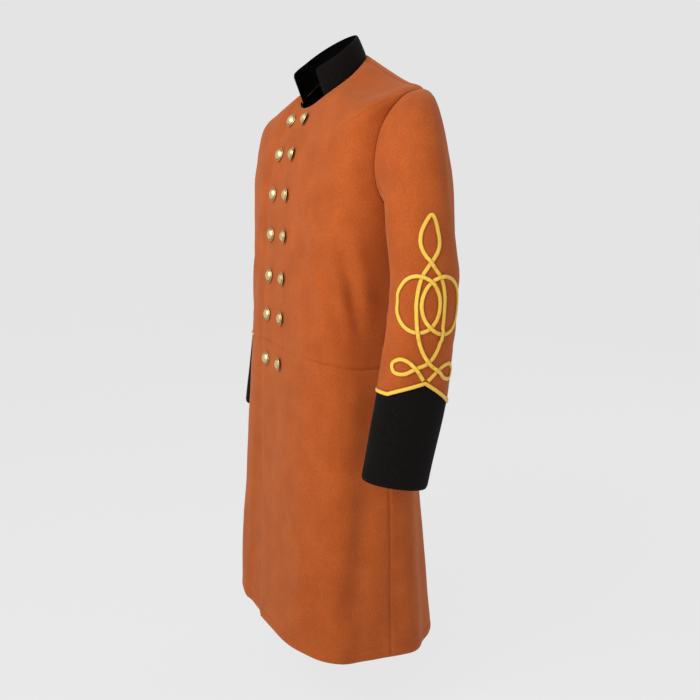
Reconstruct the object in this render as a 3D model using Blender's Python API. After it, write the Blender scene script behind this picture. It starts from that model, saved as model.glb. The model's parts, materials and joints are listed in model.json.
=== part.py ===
"""Double-breasted frock coat, filled out as if worn. Metres, +Z up, the front faces -Y, the wearer's left is +X.

The origin is where the wearer's shoulders hold the coat: the middle of the neck, level with the shoulder slope.
"""

import math
from collections import namedtuple

import bpy
import numpy as np
from mathutils import Vector
from mathutils.bvhtree import BVHTree

CLOTH = 0.0025
COLLAR_CLOTH = 0.003
SEAM_GAP = 0.0003
SHOULDER_SEAM_GAP = 0.0007
MELD_GAP = 0.0005

LAP_REACH = 0.066
NECK_LAP_REACH = 0.050
SKIRT_LAP_REACH = 0.010
LAP_SINK = 0.0039
LAP_RAMP = 0.030
SKIRT_LAP_SINK = 0.006

Waist = namedtuple("Waist", "x z")
WAIST_LINE = (
    Waist(-0.060, -0.461),
    Waist(0.000, -0.463),
    Waist(0.080, -0.467),
    Waist(0.130, -0.469),
    Waist(0.165, -0.472),
    Waist(0.190, -0.476),
    Waist(0.206, -0.484),
)
HEM_FRONT_Z = -0.993
HEM_SIDE_Z = -1.003
HEM_BACK_Z = -1.018
SIDE_SEAM = 93.0

NECK_SEAM = 127.0
ARMHOLE_TOP_Z = -0.027
ARMHOLE_BOTTOM_Z = -0.225
ARMHOLE_MIDDLE_Y = 0.044
ARMHOLE_SKEW = 0.15
ARMHOLE_HALF_WIDTH = 0.069

COLLAR_BACK_RISE = 0.031
COLLAR_FRONT_RISE = 0.045
COLLAR_LEAN = 0.016
COLLAR_END_X = 0.0515

BUTTON_ROW_X = 0.032
BUTTON_HEIGHTS = (-0.066, -0.126, -0.196, -0.268, -0.343, -0.414, -0.497)
BUTTON_RADIUS = 0.0118
BUTTON_DOME = 0.0052
BUTTON_RIM = 0.0016
BUTTON_SHANK = 0.0022
BUTTON_LIFT = 0.0004
BUTTON_SEARCH = 0.02
BUTTON_SIDES = 12

FRONT_SEAM = 126.0
BACK_SEAM = -84.0
POINT_TURN = 7.0
CUFF_SIDE_HEIGHT = 0.148
CUFF_POINT_RISE = 0.0275
CUFF_POINT_SPREAD = 60.0
BRAID_WIDTH = 0.0065
BRAID_THICK = 0.0018
BRAID_LIFT = 0.0006
BRAID_CROWN = 0.8
BRAID_STEP = 0.0055
CROSSING_LIFT = 0.0023
CROSSING_FLAT = 0.006
CROSSING_END = 0.012
KNOT_RADIUS = 0.053
RING_ACROSS = 0.0205
RING_UP = 0.122
RING_HALF_WIDTH = 0.0345
RING_HALF_HEIGHT = 0.044

Ring = namedtuple("Ring", "half_width front_depth back_depth middle_y front_square back_square front_z side_z back_z swell")
RINGS = (
    Ring(0.074, 0.0560, 0.055, 0.008, 2.10, 2.00, -0.044, 0.0070, 0.053, 0.003),
    Ring(0.100, 0.0660, 0.066, 0.012, 2.60, 2.05, -0.058, 0.0040, 0.038, 0.009),
    Ring(0.142, 0.0780, 0.080, 0.017, 3.00, 2.15, -0.072, -0.0136, 0.017, 0.014),
    Ring(0.188, 0.0885, 0.088, 0.022, 3.50, 2.25, -0.088, -0.0258, -0.006, 0.014),
    Ring(0.232, 0.1000, 0.092, 0.027, 3.90, 2.30, -0.104, -0.0335, -0.032, 0.009),
    Ring(0.234, 0.1060, 0.096, 0.024, 3.90, 2.35, -0.125, -0.0705, -0.070, 0.004),
    Ring(0.237, 0.1070, 0.104, 0.020, 3.80, 2.40, -0.150, -0.1125, -0.115, 0.000),
    Ring(0.237, 0.1080, 0.110, 0.014, 3.60, 2.40, -0.185, -0.1650, -0.165, 0.000),
    Ring(0.234, 0.1075, 0.114, 0.010, 3.30, 2.45, -0.225, -0.2250, -0.225, 0.000),
    Ring(0.224, 0.1080, 0.112, 0.006, 3.20, 2.50, -0.300, -0.3000, -0.300, 0.000),
    Ring(0.212, 0.1110, 0.106, 0.004, 3.40, 2.50, -0.380, -0.3800, -0.380, 0.000),
    Ring(0.204, 0.1135, 0.102, 0.002, 3.70, 2.50, -0.456, -0.4560, -0.456, 0.000),
    Ring(0.208, 0.1170, 0.108, 0.002, 3.70, 2.50, -0.520, -0.5200, -0.520, 0.000),
    Ring(0.218, 0.1250, 0.123, 0.002, 3.70, 2.45, -0.650, -0.6500, -0.650, 0.000),
    Ring(0.225, 0.1330, 0.138, 0.002, 3.70, 2.40, -0.780, -0.7800, -0.780, 0.000),
    Ring(0.228, 0.1420, 0.151, 0.002, 3.60, 2.40, -0.900, -0.9000, -0.900, 0.000),
    Ring(0.230, 0.1550, 0.166, 0.002, 3.20, 2.40, -1.040, -1.0400, -1.040, 0.000),
)
SHOULDER_ROW = 4
UNDERARM_ROW = 8

Fold = namedtuple("Fold", "angle spread waist_depth hem_depth")
SKIRT_FOLDS = (
    Fold(38.0, 11.0, 0.000, 0.0025),
    Fold(84.0, 8.0, 0.001, 0.0060),
    Fold(108.0, 9.0, 0.000, -0.0050),
    Fold(128.0, 9.0, 0.001, 0.0060),
    Fold(150.0, 10.0, 0.000, -0.0050),
)

Arm = namedtuple("Arm", "z middle_x middle_y half_x half_y tilt")
ARMS = (
    Arm(-0.245, 0.2880, 0.0280, 0.052, 0.0550, 0.00),
    Arm(-0.319, 0.3020, 0.0300, 0.051, 0.0550, 0.04),
    Arm(-0.400, 0.3050, 0.0230, 0.049, 0.0560, 0.10),
    Arm(-0.470, 0.3030, 0.0150, 0.048, 0.0580, 0.16),
    Arm(-0.520, 0.3000, 0.0090, 0.047, 0.0580, 0.20),
    Arm(-0.590, 0.2950, -0.0030, 0.046, 0.0570, 0.20),
    Arm(-0.656, 0.2900, -0.0145, 0.046, 0.0560, 0.20),
)
Knot = namedtuple("Knot", "across up first_over second_over")
STRAND = (
    Knot(0.0036, 0.0042, 0, 0),
    Knot(0.0170, 0.0210, 1, 0),
    Knot(0.0300, 0.0305, 0, 0),
    Knot(0.0430, 0.0325, 0, 0),
    Knot(0.0545, 0.0235, 0, 0),
    Knot(0.0490, 0.0105, 0, 0),
    Knot(0.0330, 0.0100, 0, 0),
    Knot(0.0170, 0.0210, 0, 1),
    Knot(0.0000, 0.0325, 0, 1),
    Knot(-0.0125, 0.0530, 0, 0),
    Knot(-0.0187, 0.0761, 1, 1),
    Knot(-0.0212, 0.1050, 0, 0),
    Knot(-0.0212, 0.1350, 0, 0),
    Knot(-0.0150, 0.1634, 0, 0),
    Knot(0.0000, 0.1865, 1, 0),
    Knot(0.0114, 0.2045, 0, 0),
    Knot(0.0146, 0.2215, 0, 0),
    Knot(0.0095, 0.2440, 0, 0),
    Knot(0.0000, 0.2595, 0, 0),
)
KNOT_BOW = ((0.0, 0.0), (0.04, 0.0), (0.12, 0.0072), (0.18, 0.0088), (0.22, 0.0055), (0.26, 0.0020))

CAP_OUT = 0.50
CAP_DOWN = 0.50
SHOULDER_STEPS = 4
ARMHOLE_STEPS = 9
SIDE_STEPS = 5
LAP_COLUMNS = 6
FRONT_COLUMNS = 9
BACK_COLUMNS = 10
SKIRT_STEPS = 8
CAP_STEPS = 6
ARM_STEPS = 8
UPPER_COLUMNS = 14
UNDER_COLUMNS = 10
CUFF_STEPS = 3

SMALL = 1e-4


def clear_scene():
    for obj in list(bpy.data.objects):
        bpy.data.objects.remove(obj, do_unlink=True)


def smooth_row(table, row):
    """The table's values at a place between its rows, on a curve through them."""
    values = np.array(table, float)
    last = len(values) - 1
    low = min(max(int(math.floor(row)), 0), last - 1)
    part = row - low
    before = values[low - 1] if low > 0 else 2 * values[0] - values[1]
    after = values[low + 2] if low + 2 <= last else 2 * values[last] - values[last - 1]
    start, end = values[low], values[low + 1]
    bend_in = (end - before) / 2
    bend_out = (after - start) / 2
    cubic = 2 * start - 2 * end + bend_in + bend_out
    square = -3 * start + 3 * end - 2 * bend_in - bend_out
    return start + part * (bend_in + part * (square + part * cubic))


def ease(low, high, value):
    part = min(max((value - low) / (high - low), 0.0), 1.0)
    return part * part * (3 - 2 * part)


def body_point(angle, row):
    """A point of the coat's outer surface. The angle is 0 at centre front, 90 at the left side and 180 at centre back."""
    ring = Ring(*smooth_row(RINGS, row))
    turn = math.radians(angle)
    power = 2 / (ring.front_square if math.cos(turn) > 0 else ring.back_square)
    across = math.copysign(abs(math.sin(turn)) ** power, math.sin(turn))
    along = -math.copysign(abs(math.cos(turn)) ** power, math.cos(turn))
    depth = ring.front_depth if along < 0 else ring.back_depth
    lean = (ring.back_z - ring.front_z) / 2
    arch = (ring.back_z + ring.front_z) / 2 - ring.side_z
    z = ring.side_z + lean * along + arch * along * along
    if along < 0:
        z += 4 * ring.swell * along * along * (1 - along * along)
    return np.array([ring.half_width * across, ring.middle_y + depth * along, z])


def body_normal(angle, row):
    around = body_point(angle + 0.5, row) - body_point(angle - 0.5, row)
    down = body_point(angle, min(row + 0.02, len(RINGS) - 1)) - body_point(angle, max(row - 0.02, 0))
    normal = np.cross(down, around)
    return normal / np.linalg.norm(normal)


LOW_ROWS = np.linspace(UNDERARM_ROW, len(RINGS) - 1, 400)
LOW_HEIGHTS = np.array([-smooth_row(RINGS, row)[7] for row in LOW_ROWS])


def row_of_height(z):
    return float(np.interp(-z, LOW_HEIGHTS, LOW_ROWS))


def angle_of_x(x, row):
    """The angle at which a ring's front half is at this x."""
    ring = Ring(*smooth_row(RINGS, row))
    return math.degrees(math.asin(math.copysign((abs(x) / ring.half_width) ** (ring.front_square / 2), x)))


def bisect(low, high, value):
    """The place between low and high where value changes sign."""
    low_sign = value(low) > 0
    for _ in range(40):
        middle = (low + high) / 2
        if (value(middle) > 0) == low_sign:
            low = middle
        else:
            high = middle
    return (low + high) / 2


def armhole_value(point):
    """Below 0 inside the armhole, 0 on its edge."""
    middle_z = (ARMHOLE_TOP_Z + ARMHOLE_BOTTOM_Z) / 2
    half_height = (ARMHOLE_TOP_Z - ARMHOLE_BOTTOM_Z) / 2
    middle_y = ARMHOLE_MIDDLE_Y + ARMHOLE_SKEW * (point[2] - middle_z)
    return ((point[1] - middle_y) / ARMHOLE_HALF_WIDTH) ** 2 + ((point[2] - middle_z) / half_height) ** 2 - 1


def armhole_middle_angle(row):
    """The angle at which a ring crosses the line through the armhole's middle."""
    middle_z = (ARMHOLE_TOP_Z + ARMHOLE_BOTTOM_Z) / 2

    def behind(angle):
        point = body_point(angle, row)
        return point[1] - ARMHOLE_MIDDLE_Y - ARMHOLE_SKEW * (point[2] - middle_z)

    return bisect(50, 150, behind)


def armhole_row(z):
    """The row whose ring crosses the armhole's middle line at this height."""
    return bisect(SHOULDER_ROW - 1, UNDERARM_ROW + 1, lambda row: body_point(armhole_middle_angle(row), row)[2] - z)


ARMHOLE_TOP_ROW = armhole_row(ARMHOLE_TOP_Z)
ARMHOLE_BOTTOM_ROW = armhole_row(ARMHOLE_BOTTOM_Z)
TOP_ANGLE = armhole_middle_angle(ARMHOLE_TOP_ROW)
BOTTOM_ANGLE = armhole_middle_angle(ARMHOLE_BOTTOM_ROW)


def seam_angles(row):
    """Where the front ends and the back starts on a ring: at the shoulder seam, the armhole or the side seam."""
    if row <= ARMHOLE_TOP_ROW:
        seam = NECK_SEAM + (TOP_ANGLE - NECK_SEAM) * row / ARMHOLE_TOP_ROW
        return seam, seam
    if row < ARMHOLE_BOTTOM_ROW - SMALL:
        middle = armhole_middle_angle(row)
        front = bisect(middle, 40, lambda angle: armhole_value(body_point(angle, row)))
        back = bisect(middle, 160, lambda angle: armhole_value(body_point(angle, row)))
        return front, back
    down = ease(ARMHOLE_BOTTOM_ROW, ARMHOLE_BOTTOM_ROW + 3, row)
    seam = BOTTOM_ANGLE + (SIDE_SEAM - BOTTOM_ANGLE) * down
    return seam, seam


def armhole_rows():
    """Rows from the armhole's top to its bottom, closer together at both ends."""
    steps = np.linspace(0, math.pi, ARMHOLE_STEPS + 1)
    heights = ARMHOLE_BOTTOM_Z + (ARMHOLE_TOP_Z - ARMHOLE_BOTTOM_Z) * (1 + np.cos(steps)) / 2
    rows = [armhole_row(z) for z in heights[1:-1]]
    return [ARMHOLE_TOP_ROW] + rows + [ARMHOLE_BOTTOM_ROW]


def waist_z(x):
    table = np.array(WAIST_LINE)
    return float(np.interp(abs(x) if x > 0 else x, table[:, 0], table[:, 1]))


def hem_z(angle):
    back = (1 - math.cos(math.radians(abs(angle)))) / 2
    if back < 0.5:
        return HEM_FRONT_Z + (HEM_SIDE_Z - HEM_FRONT_Z) * ease(0, 0.5, back)
    return HEM_SIDE_Z + (HEM_BACK_Z - HEM_SIDE_Z) * ease(0.5, 1, back)


def gap_angle(angle, row, gap):
    """The change of angle that spans a gap on the ring at this angle, in degrees."""
    return gap / np.linalg.norm(body_point(angle + 0.5, row) - body_point(angle - 0.5, row))


def seam_gap(row):
    """The gap between front and back. It is wider over the shoulder, where the walls' edges twist."""
    return SHOULDER_SEAM_GAP if row < ARMHOLE_TOP_ROW - SMALL else SEAM_GAP


def skirt_share(z):
    """0 at the waist seam's front end and 1 at the hem."""
    top = WAIST_LINE[0][1]
    return min(max((z - top) / (HEM_FRONT_Z - top), 0.0), 1.0)


def skirt_fold(angle, z):
    """How far a skirt's folds move its surface inwards."""
    down = skirt_share(z)
    total = 0.0
    for fold in SKIRT_FOLDS:
        depth = fold.waist_depth + (fold.hem_depth - fold.waist_depth) * down
        total += depth * math.exp(-(((abs(angle) - fold.angle) / fold.spread) ** 2)) * min(1.0, 6 * down)
    return total


def lap_sink(x, full):
    """How far the right side sinks where the left side lies on it. The x is the wearer's left."""
    return full * ease(-LAP_REACH - LAP_RAMP, -LAP_REACH - 0.004, x)


def wall_mesh(name, outer, inner, closed_round=False):
    """A closed wall between two grids of points, rows by columns."""
    rows, columns = outer.shape[:2]
    points = np.concatenate([outer.reshape(-1, 3), inner.reshape(-1, 3)])
    inside = rows * columns
    faces = []
    last = columns if closed_round else columns - 1
    for r in range(rows - 1):
        for c in range(last):
            a, b = r * columns + c, r * columns + (c + 1) % columns
            d, e = a + columns, b + columns
            faces.append((a, d, e, b))
            faces.append((inside + a, inside + b, inside + e, inside + d))
    for c in range(last):
        a, b = c, (c + 1) % columns
        faces.append((a, b, inside + b, inside + a))
        a, b = a + (rows - 1) * columns, b + (rows - 1) * columns
        faces.append((a, inside + a, inside + b, b))
    if not closed_round:
        for r in range(rows - 1):
            a, d = r * columns, (r + 1) * columns
            faces.append((a, inside + a, inside + d, d))
            a, d = a + columns - 1, d + columns - 1
            faces.append((a, d, inside + d, inside + a))
    return solid_object(name, points, faces)


def solid_object(name, points, faces):
    """An object from points and faces, turned so that its faces point out."""
    mesh = bpy.data.meshes.new(name)
    mesh.from_pydata([tuple(p) for p in points], [], faces)
    mesh.update()
    mesh.calc_loop_triangles()
    volume = 0.0
    for triangle in mesh.loop_triangles:
        a, b, c = (mesh.vertices[i].co for i in triangle.vertices)
        volume += a.dot(b.cross(c))
    if volume < 0:
        mesh.flip_normals()
    mesh.shade_smooth()
    mesh.set_sharp_from_angle(angle=math.radians(35))
    obj = bpy.data.objects.new(name, mesh)
    bpy.context.scene.collection.objects.link(obj)
    return obj


def finish_material(obj, colour, roughness, metallic=0.0):
    material = bpy.data.materials.new(obj.name)
    material.use_nodes = True
    shader = material.node_tree.nodes["Principled BSDF"]
    shader.inputs["Base Color"].default_value = (*colour, 1.0)
    shader.inputs["Roughness"].default_value = roughness
    shader.inputs["Metallic"].default_value = metallic
    obj.data.materials.append(material)


ORANGE_WOOL = (0.46, 0.12, 0.035)
BLACK_WOOL = (0.012, 0.012, 0.013)
YELLOW_BRAID = (0.80, 0.48, 0.06)
BRASS = (0.78, 0.52, 0.24)


def wool(obj):
    finish_material(obj, ORANGE_WOOL, 0.9)


def black_wool(obj):
    finish_material(obj, BLACK_WOOL, 0.92)


def braid(obj):
    finish_material(obj, YELLOW_BRAID, 0.55)


def brass(obj):
    finish_material(obj, BRASS, 0.3, 1.0)


def side_name(side):
    return "left" if side > 0 else "right"


def mirrored(points, side):
    return points * np.array([side, 1.0, 1.0])


def panel_wall(name, places, side, sink=None):
    """A body panel from a grid of (angle, row) places on the left side, mirrored for the right."""
    rows, columns = len(places), len(places[0])
    outer = np.zeros((rows, columns, 3))
    inner = np.zeros((rows, columns, 3))
    for r in range(rows):
        for c in range(columns):
            angle, row = places[r][c]
            point, normal = body_point(angle, row), body_normal(angle, row)
            moved = sink(angle, row, point) if sink else 0.0
            outer[r, c] = point - normal * moved
            inner[r, c] = point - normal * (moved + CLOTH)
    obj = wall_mesh(name, mirrored(outer, side), mirrored(inner, side))
    wool(obj)
    return obj


def body_rows():
    shoulder = list(np.linspace(0, ARMHOLE_TOP_ROW, SHOULDER_STEPS + 1))[:-1]
    return shoulder + armhole_rows()


def back_angles(start, end):
    """The angles of a back panel's columns on a ring, evenly spaced."""

    def angles(row):
        return np.linspace(start(row), end(row), BACK_COLUMNS + 1)

    return angles


def front_angles(reach, end):
    """The angles of a front panel's columns on a ring: even over the lap, so that both sides match, and on to the side."""

    def angles(row):
        edge = angle_of_x(-reach(row), row)
        lap = np.linspace(edge, -edge, LAP_COLUMNS + 1)
        return np.concatenate([lap, np.linspace(-edge, end(row), FRONT_COLUMNS + 1)[1:]])

    return angles


def waist_of(angle):
    return waist_z(body_point(angle, row_of_height(WAIST_LINE[2][1]))[0])


def side_places(angles):
    """Places of a body panel: rows of rings down to the armhole's bottom, then down to the waist seam."""
    places = [[(angle, row) for angle in angles(row)] for row in body_rows()]
    for step in range(1, SIDE_STEPS + 1):
        places.append(low_line(angles, ARMHOLE_BOTTOM_Z, lambda angle: waist_of(angle) + SEAM_GAP / 2, step / SIDE_STEPS))
    return places


def low_line(angles, top, bottom, share):
    """A line of places below the armhole, at a share of the way down from top to bottom at each angle."""
    line = []
    for c in range(len(angles(UNDERARM_ROW))):
        row = UNDERARM_ROW
        for _ in range(4):
            angle = angles(row)[c]
            high = top(angle) if callable(top) else top
            row = row_of_height(high + (bottom(angle) - high) * share)
        line.append((angle, row))
    return line


def lap_reach(row):
    return NECK_LAP_REACH + (LAP_REACH - NECK_LAP_REACH) * ease(0, SHOULDER_ROW, row)


def front_panel(side):
    def seam(row):
        angle = seam_angles(row)[0]
        return angle - gap_angle(angle, row, seam_gap(row) / 2)

    def sink(angle, row, point):
        return lap_sink(-point[0], LAP_SINK)

    places = side_places(front_angles(lap_reach, seam))
    return panel_wall("front_" + side_name(side), places, side, sink if side < 0 else None)


def back_panel(side):
    def seam(row):
        angle = seam_angles(row)[1]
        return angle + gap_angle(angle, row, seam_gap(row) / 2)

    def centre(row):
        return 180 - gap_angle(178, row, SEAM_GAP / 2)

    return panel_wall("back_" + side_name(side), side_places(back_angles(seam, centre)), side)


def skirt_places(angles):
    def waist(angle):
        return waist_of(angle) - SEAM_GAP / 2

    return [low_line(angles, waist, hem_z, step / SKIRT_STEPS) for step in range(SKIRT_STEPS + 1)]


def skirt_reach(row):
    down = skirt_share(smooth_row(RINGS, row)[7])
    return LAP_REACH + (SKIRT_LAP_REACH - LAP_REACH) * down


def skirt_front(side):
    def seam(row):
        return SIDE_SEAM - gap_angle(SIDE_SEAM, row, SEAM_GAP / 2)

    def sink(angle, row, point):
        moved = skirt_fold(angle, point[2])
        if side < 0:
            moved += lap_sink(-point[0], LAP_SINK + (SKIRT_LAP_SINK - LAP_SINK) * skirt_share(point[2]))
        return moved

    places = skirt_places(front_angles(skirt_reach, seam))
    return panel_wall("skirt_front_" + side_name(side), places, side, sink)


def skirt_back(side):
    def seam(row):
        return SIDE_SEAM + gap_angle(SIDE_SEAM, row, SEAM_GAP / 2)

    def centre(row):
        return 180 - gap_angle(178, row, SEAM_GAP / 2)

    def sink(angle, row, point):
        return skirt_fold(angle, point[2])

    return panel_wall("skirt_back_" + side_name(side), skirt_places(back_angles(seam, centre)), side, sink)


def collar():
    """A stand collar on the neck line, open in front."""
    end = angle_of_x(COLLAR_END_X, 0)
    angles = np.linspace(end, 360 - end, 33)
    outer, inner = [], []
    for share in np.linspace(0, 1, 4):
        ring = []
        hollow = []
        for angle in angles:
            front = (1 + math.cos(math.radians(angle))) / 2
            rise = COLLAR_BACK_RISE + (COLLAR_FRONT_RISE - COLLAR_BACK_RISE) * front
            lift = np.array([0, -COLLAR_LEAN, rise])
            unit = lift / np.linalg.norm(lift)
            base = body_point(angle, 0) + unit * SEAM_GAP * 2
            around = body_point(angle + 1, 0) - body_point(angle - 1, 0)
            normal = np.cross(around, unit)
            normal /= np.linalg.norm(normal)
            point = base + lift * share
            ring.append(point)
            hollow.append(point - normal * COLLAR_CLOTH)
        outer.append(ring)
        inner.append(hollow)
    obj = wall_mesh("collar", np.array(outer), np.array(inner))
    black_wool(obj)


def armhole_curve(back):
    """The armhole's edge from its top to its bottom, along its front or its back half."""
    return np.array([body_point(seam_angles(row)[1 if back else 0], row) for row in armhole_rows()])


ARMHOLE_FRONT = armhole_curve(False)
ARMHOLE_BACK = armhole_curve(True)


def along(points, share):
    steps = np.linalg.norm(np.diff(points, axis=0), axis=1)
    places = np.concatenate([[0], np.cumsum(steps)]) / steps.sum()
    return np.array([np.interp(share, places, points[:, k]) for k in range(3)])


def armhole_point(turn):
    """A point of the armhole's edge. The turn is 0 at its top, 90 in front, 180 at the bottom and -90 behind."""
    half = ARMHOLE_FRONT if turn >= 0 else ARMHOLE_BACK
    return along(half, min(abs(turn) / 180, 1.0))


def arm_point(turn, z):
    """A point of the sleeve's outer surface below its cap. The turn is 0 on the outer side and 90 in front."""
    heights = [-arm.z for arm in ARMS]
    row = float(np.interp(-z, heights, range(len(ARMS))))
    arm = Arm(*smooth_row(ARMS, row))
    a = math.radians(turn)
    x = arm.half_x * math.cos(a)
    y = -arm.half_y * math.sin(a)
    return np.array([arm.middle_x + x, arm.middle_y + y, z - arm.tilt * y])


def cap_point(turn, share):
    """A point of the sleeve between the armhole and the top of the arm, on a curve that leaves the armhole sideways."""
    start = armhole_point(turn) + np.array([MELD_GAP, 0, 0])
    end = arm_point(turn, ARMS[0].z)
    reach = np.linalg.norm(end - start)
    first = start + np.array([1.0, 0, 0.12]) * reach * CAP_OUT / 2
    second = end + np.array([0, 0, 1.0]) * reach * CAP_DOWN
    keep = 1 - share
    return keep**3 * start + 3 * keep**2 * share * first + 3 * keep * share**2 * second + share**3 * end


def cuff_height(turn):
    return CUFF_SIDE_HEIGHT + CUFF_POINT_RISE * max(0.0, 1 - abs(turn - POINT_TURN) / CUFF_POINT_SPREAD)


def sleeve_point(turn, share):
    """A point of the sleeve's outer surface: share 0 is the armhole, 1 the top of the arm and 2 the cuff's edge."""
    turn = (turn + 180) % 360 - 180
    if share <= 1:
        return cap_point(turn, share)
    low = ARMS[-1].z + cuff_height(turn)
    return arm_point(turn, ARMS[0].z + (low - ARMS[0].z) * (share - 1))


def cuff_point(turn, share):
    """A point of the cuff's outer surface: share 0 is its pointed edge and 1 its mouth."""
    turn = (turn + 180) % 360 - 180
    top = ARMS[-1].z + cuff_height(turn) - SEAM_GAP
    return arm_point(turn, top + (ARMS[-1].z - top) * share)


def surface_wall(surface, turns, shares, thick, closed_round=False):
    """Outer and inner grids of a tube's wall."""
    outer = np.array([[surface(turn, share) for turn in turns] for share in shares])
    inner = np.zeros_like(outer)
    low, high = min(shares), max(shares)
    for r, share in enumerate(shares):
        for c, turn in enumerate(turns):
            around = surface(turn + 2, share) - surface(turn - 2, share)
            down = surface(turn, min(share + 0.02, high)) - surface(turn, max(share - 0.02, low))
            normal = np.cross(around, down)
            if share <= SMALL and surface is sleeve_point:
                normal[0] = 0.0
            normal /= np.linalg.norm(normal)
            inner[r, c] = outer[r, c] - normal * thick
    return outer, inner


def sleeve_shares():
    return list(np.linspace(0, 1, CAP_STEPS + 1)) + list(np.linspace(1, 2, ARM_STEPS + 1))[1:]


def upper_turns():
    return np.linspace(BACK_SEAM, FRONT_SEAM, UPPER_COLUMNS + 1)


def under_turns():
    return np.linspace(FRONT_SEAM, BACK_SEAM + 360, UNDER_COLUMNS + 1)


def sleeve(side):
    half_gap = math.degrees(SEAM_GAP / 2 / ARMS[0].half_x)
    for name, turns in (("sleeve_upper_", upper_turns()), ("sleeve_under_", under_turns())):
        turns[0] += half_gap
        turns[-1] -= half_gap
        outer, inner = surface_wall(sleeve_point, turns, sleeve_shares(), CLOTH)
        wool(wall_mesh(name + side_name(side), mirrored(outer, side), mirrored(inner, side)))


def cuff(side):
    turns = np.concatenate([upper_turns(), under_turns()[1:-1]])
    outer, inner = surface_wall(cuff_point, turns, np.linspace(0, 1, CUFF_STEPS + 1), CLOTH, True)
    obj = wall_mesh("cuff_" + side_name(side), mirrored(outer, side), mirrored(inner, side), True)
    black_wool(obj)


def facet_point(turn, share):
    """A point of the sleeve's faceted outer wall, between the corners of its facet."""
    turns = upper_turns()
    shares = np.array(sleeve_shares())
    column = min(max(int(np.searchsorted(turns, turn)) - 1, 0), len(turns) - 2)
    line = min(max(int(np.searchsorted(shares, share)) - 1, 0), len(shares) - 2)
    across = (turn - turns[column]) / (turns[column + 1] - turns[column])
    down = (share - shares[line]) / (shares[line + 1] - shares[line])
    top = (1 - across) * sleeve_point(turns[column], shares[line])
    top += across * sleeve_point(turns[column + 1], shares[line])
    low = (1 - across) * sleeve_point(turns[column], shares[line + 1])
    low += across * sleeve_point(turns[column + 1], shares[line + 1])
    return (1 - down) * top + down * low


def sleeve_normal(turn, share):
    around = sleeve_point(turn + 2, share) - sleeve_point(turn - 2, share)
    down = sleeve_point(turn, min(share + 0.02, 2)) - sleeve_point(turn, share - 0.02)
    normal = np.cross(around, down)
    return normal / np.linalg.norm(normal)


def knot_place(across, up):
    """The turn and share of a knot's point, across and up from the cuff's peak."""
    bow = np.interp(up, *np.transpose(KNOT_BOW))
    turn = POINT_TURN + math.degrees((across + bow) / KNOT_RADIUS)
    z = ARMS[-1].z + cuff_height(POINT_TURN) + up
    if z > ARMS[0].z:
        return turn, bisect(0.5, 1, lambda share: cap_point(turn, share)[2] - z)
    low = ARMS[-1].z + cuff_height(turn)
    return turn, 1 + (z - ARMS[0].z) / (low - ARMS[0].z)


def braid_strip(name, places, lifts, side, closed_round):
    """A flat braid laid on the sleeve through (turn, share) places, lifted where it crosses another."""
    points = np.array([facet_point(*place) for place in places])
    normals = np.array([sleeve_normal(*place) for place in places])
    after, before = np.roll(points, -1, axis=0), np.roll(points, 1, axis=0)
    if not closed_round:
        after[-1], before[0] = points[-1], points[0]
    across = np.cross(normals, after - before)
    across *= BRAID_WIDTH / 2 / np.linalg.norm(across, axis=1)[:, None]
    base = points + normals * (BRAID_LIFT + np.array(lifts))[:, None]
    crown = base + normals * BRAID_THICK
    narrow = across * BRAID_CROWN
    corners = np.stack([base - across, base + across, crown + narrow, crown - narrow], 1)
    count = len(points)
    faces = []
    for k in range(count if closed_round else count - 1):
        n = (k + 1) % count
        for c in range(4):
            d = (c + 1) % 4
            faces.append((4 * k + c, 4 * n + c, 4 * n + d, 4 * k + d))
    if not closed_round:
        faces.append((0, 1, 2, 3))
        faces.append(tuple(4 * (count - 1) + c for c in (3, 2, 1, 0)))
    braid(solid_object(name + side_name(side), mirrored(corners.reshape(-1, 3), side), faces))


def crossing_lift(distance):
    return CROSSING_LIFT * (1 - ease(CROSSING_FLAT, CROSSING_END, distance))


def even_path(points, overs, closed_round):
    """Points at even steps along a dense path, and how far each is lifted by the crossings where it lies over."""
    steps = np.linalg.norm(np.diff(points, axis=0), axis=1)
    places = np.concatenate([[0], np.cumsum(steps)])
    count = int(round(places[-1] / BRAID_STEP))
    wanted = np.linspace(0, places[-1], count + 1)
    if closed_round:
        wanted = wanted[:-1]
    even = np.stack([np.interp(wanted, places, points[:, k]) for k in range(2)], 1)
    lifts = []
    for place in wanted:
        gaps = [abs(place - places[over]) for over in overs]
        if closed_round:
            gaps = [min(gap, places[-1] - gap) for gap in gaps]
        lifts.append(max([crossing_lift(gap) for gap in gaps], default=0.0))
    return even, lifts


def knot_strand(side):
    """The long strand: a curl, up one side, round the top leaf, down the other side and the second curl."""
    up = [(knot.across, knot.up, knot.first_over) for knot in STRAND]
    down = [(-knot.across, knot.up, knot.second_over) for knot in reversed(STRAND[:-1])]
    knots = up + down
    dense = 12
    table = [knot[:2] for knot in knots]
    points = np.array([smooth_row(table, k / dense) for k in range((len(knots) - 1) * dense + 1)])
    overs = [k * dense for k, knot in enumerate(knots) if knot[2]]
    even, lifts = even_path(points, overs, False)
    braid_strip("knot_strand_", [knot_place(*point) for point in even], lifts, side, False)


def knot_ring(side, place):
    """One of the two rings that cross each other. The place is 1 for the front one and -1 for the back one."""
    turns = np.linspace(0, 2 * math.pi, 241)
    across = place * RING_ACROSS + RING_HALF_WIDTH * np.sin(turns)
    points = np.stack([across, RING_UP + RING_HALF_HEIGHT * np.cos(turns)], 1)
    over_strand = np.array([place * 0.0150, RING_UP + RING_HALF_HEIGHT])
    over_ring = np.array([0.0, RING_UP + place * RING_HALF_HEIGHT * 0.8])
    overs = [int(np.argmin(np.linalg.norm(points - over, axis=1))) for over in (over_strand, over_ring)]
    even, lifts = even_path(points, overs, True)
    name = "knot_ring_front_" if place > 0 else "knot_ring_back_"
    braid_strip(name, [knot_place(*point) for point in even], lifts, side, True)


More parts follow.
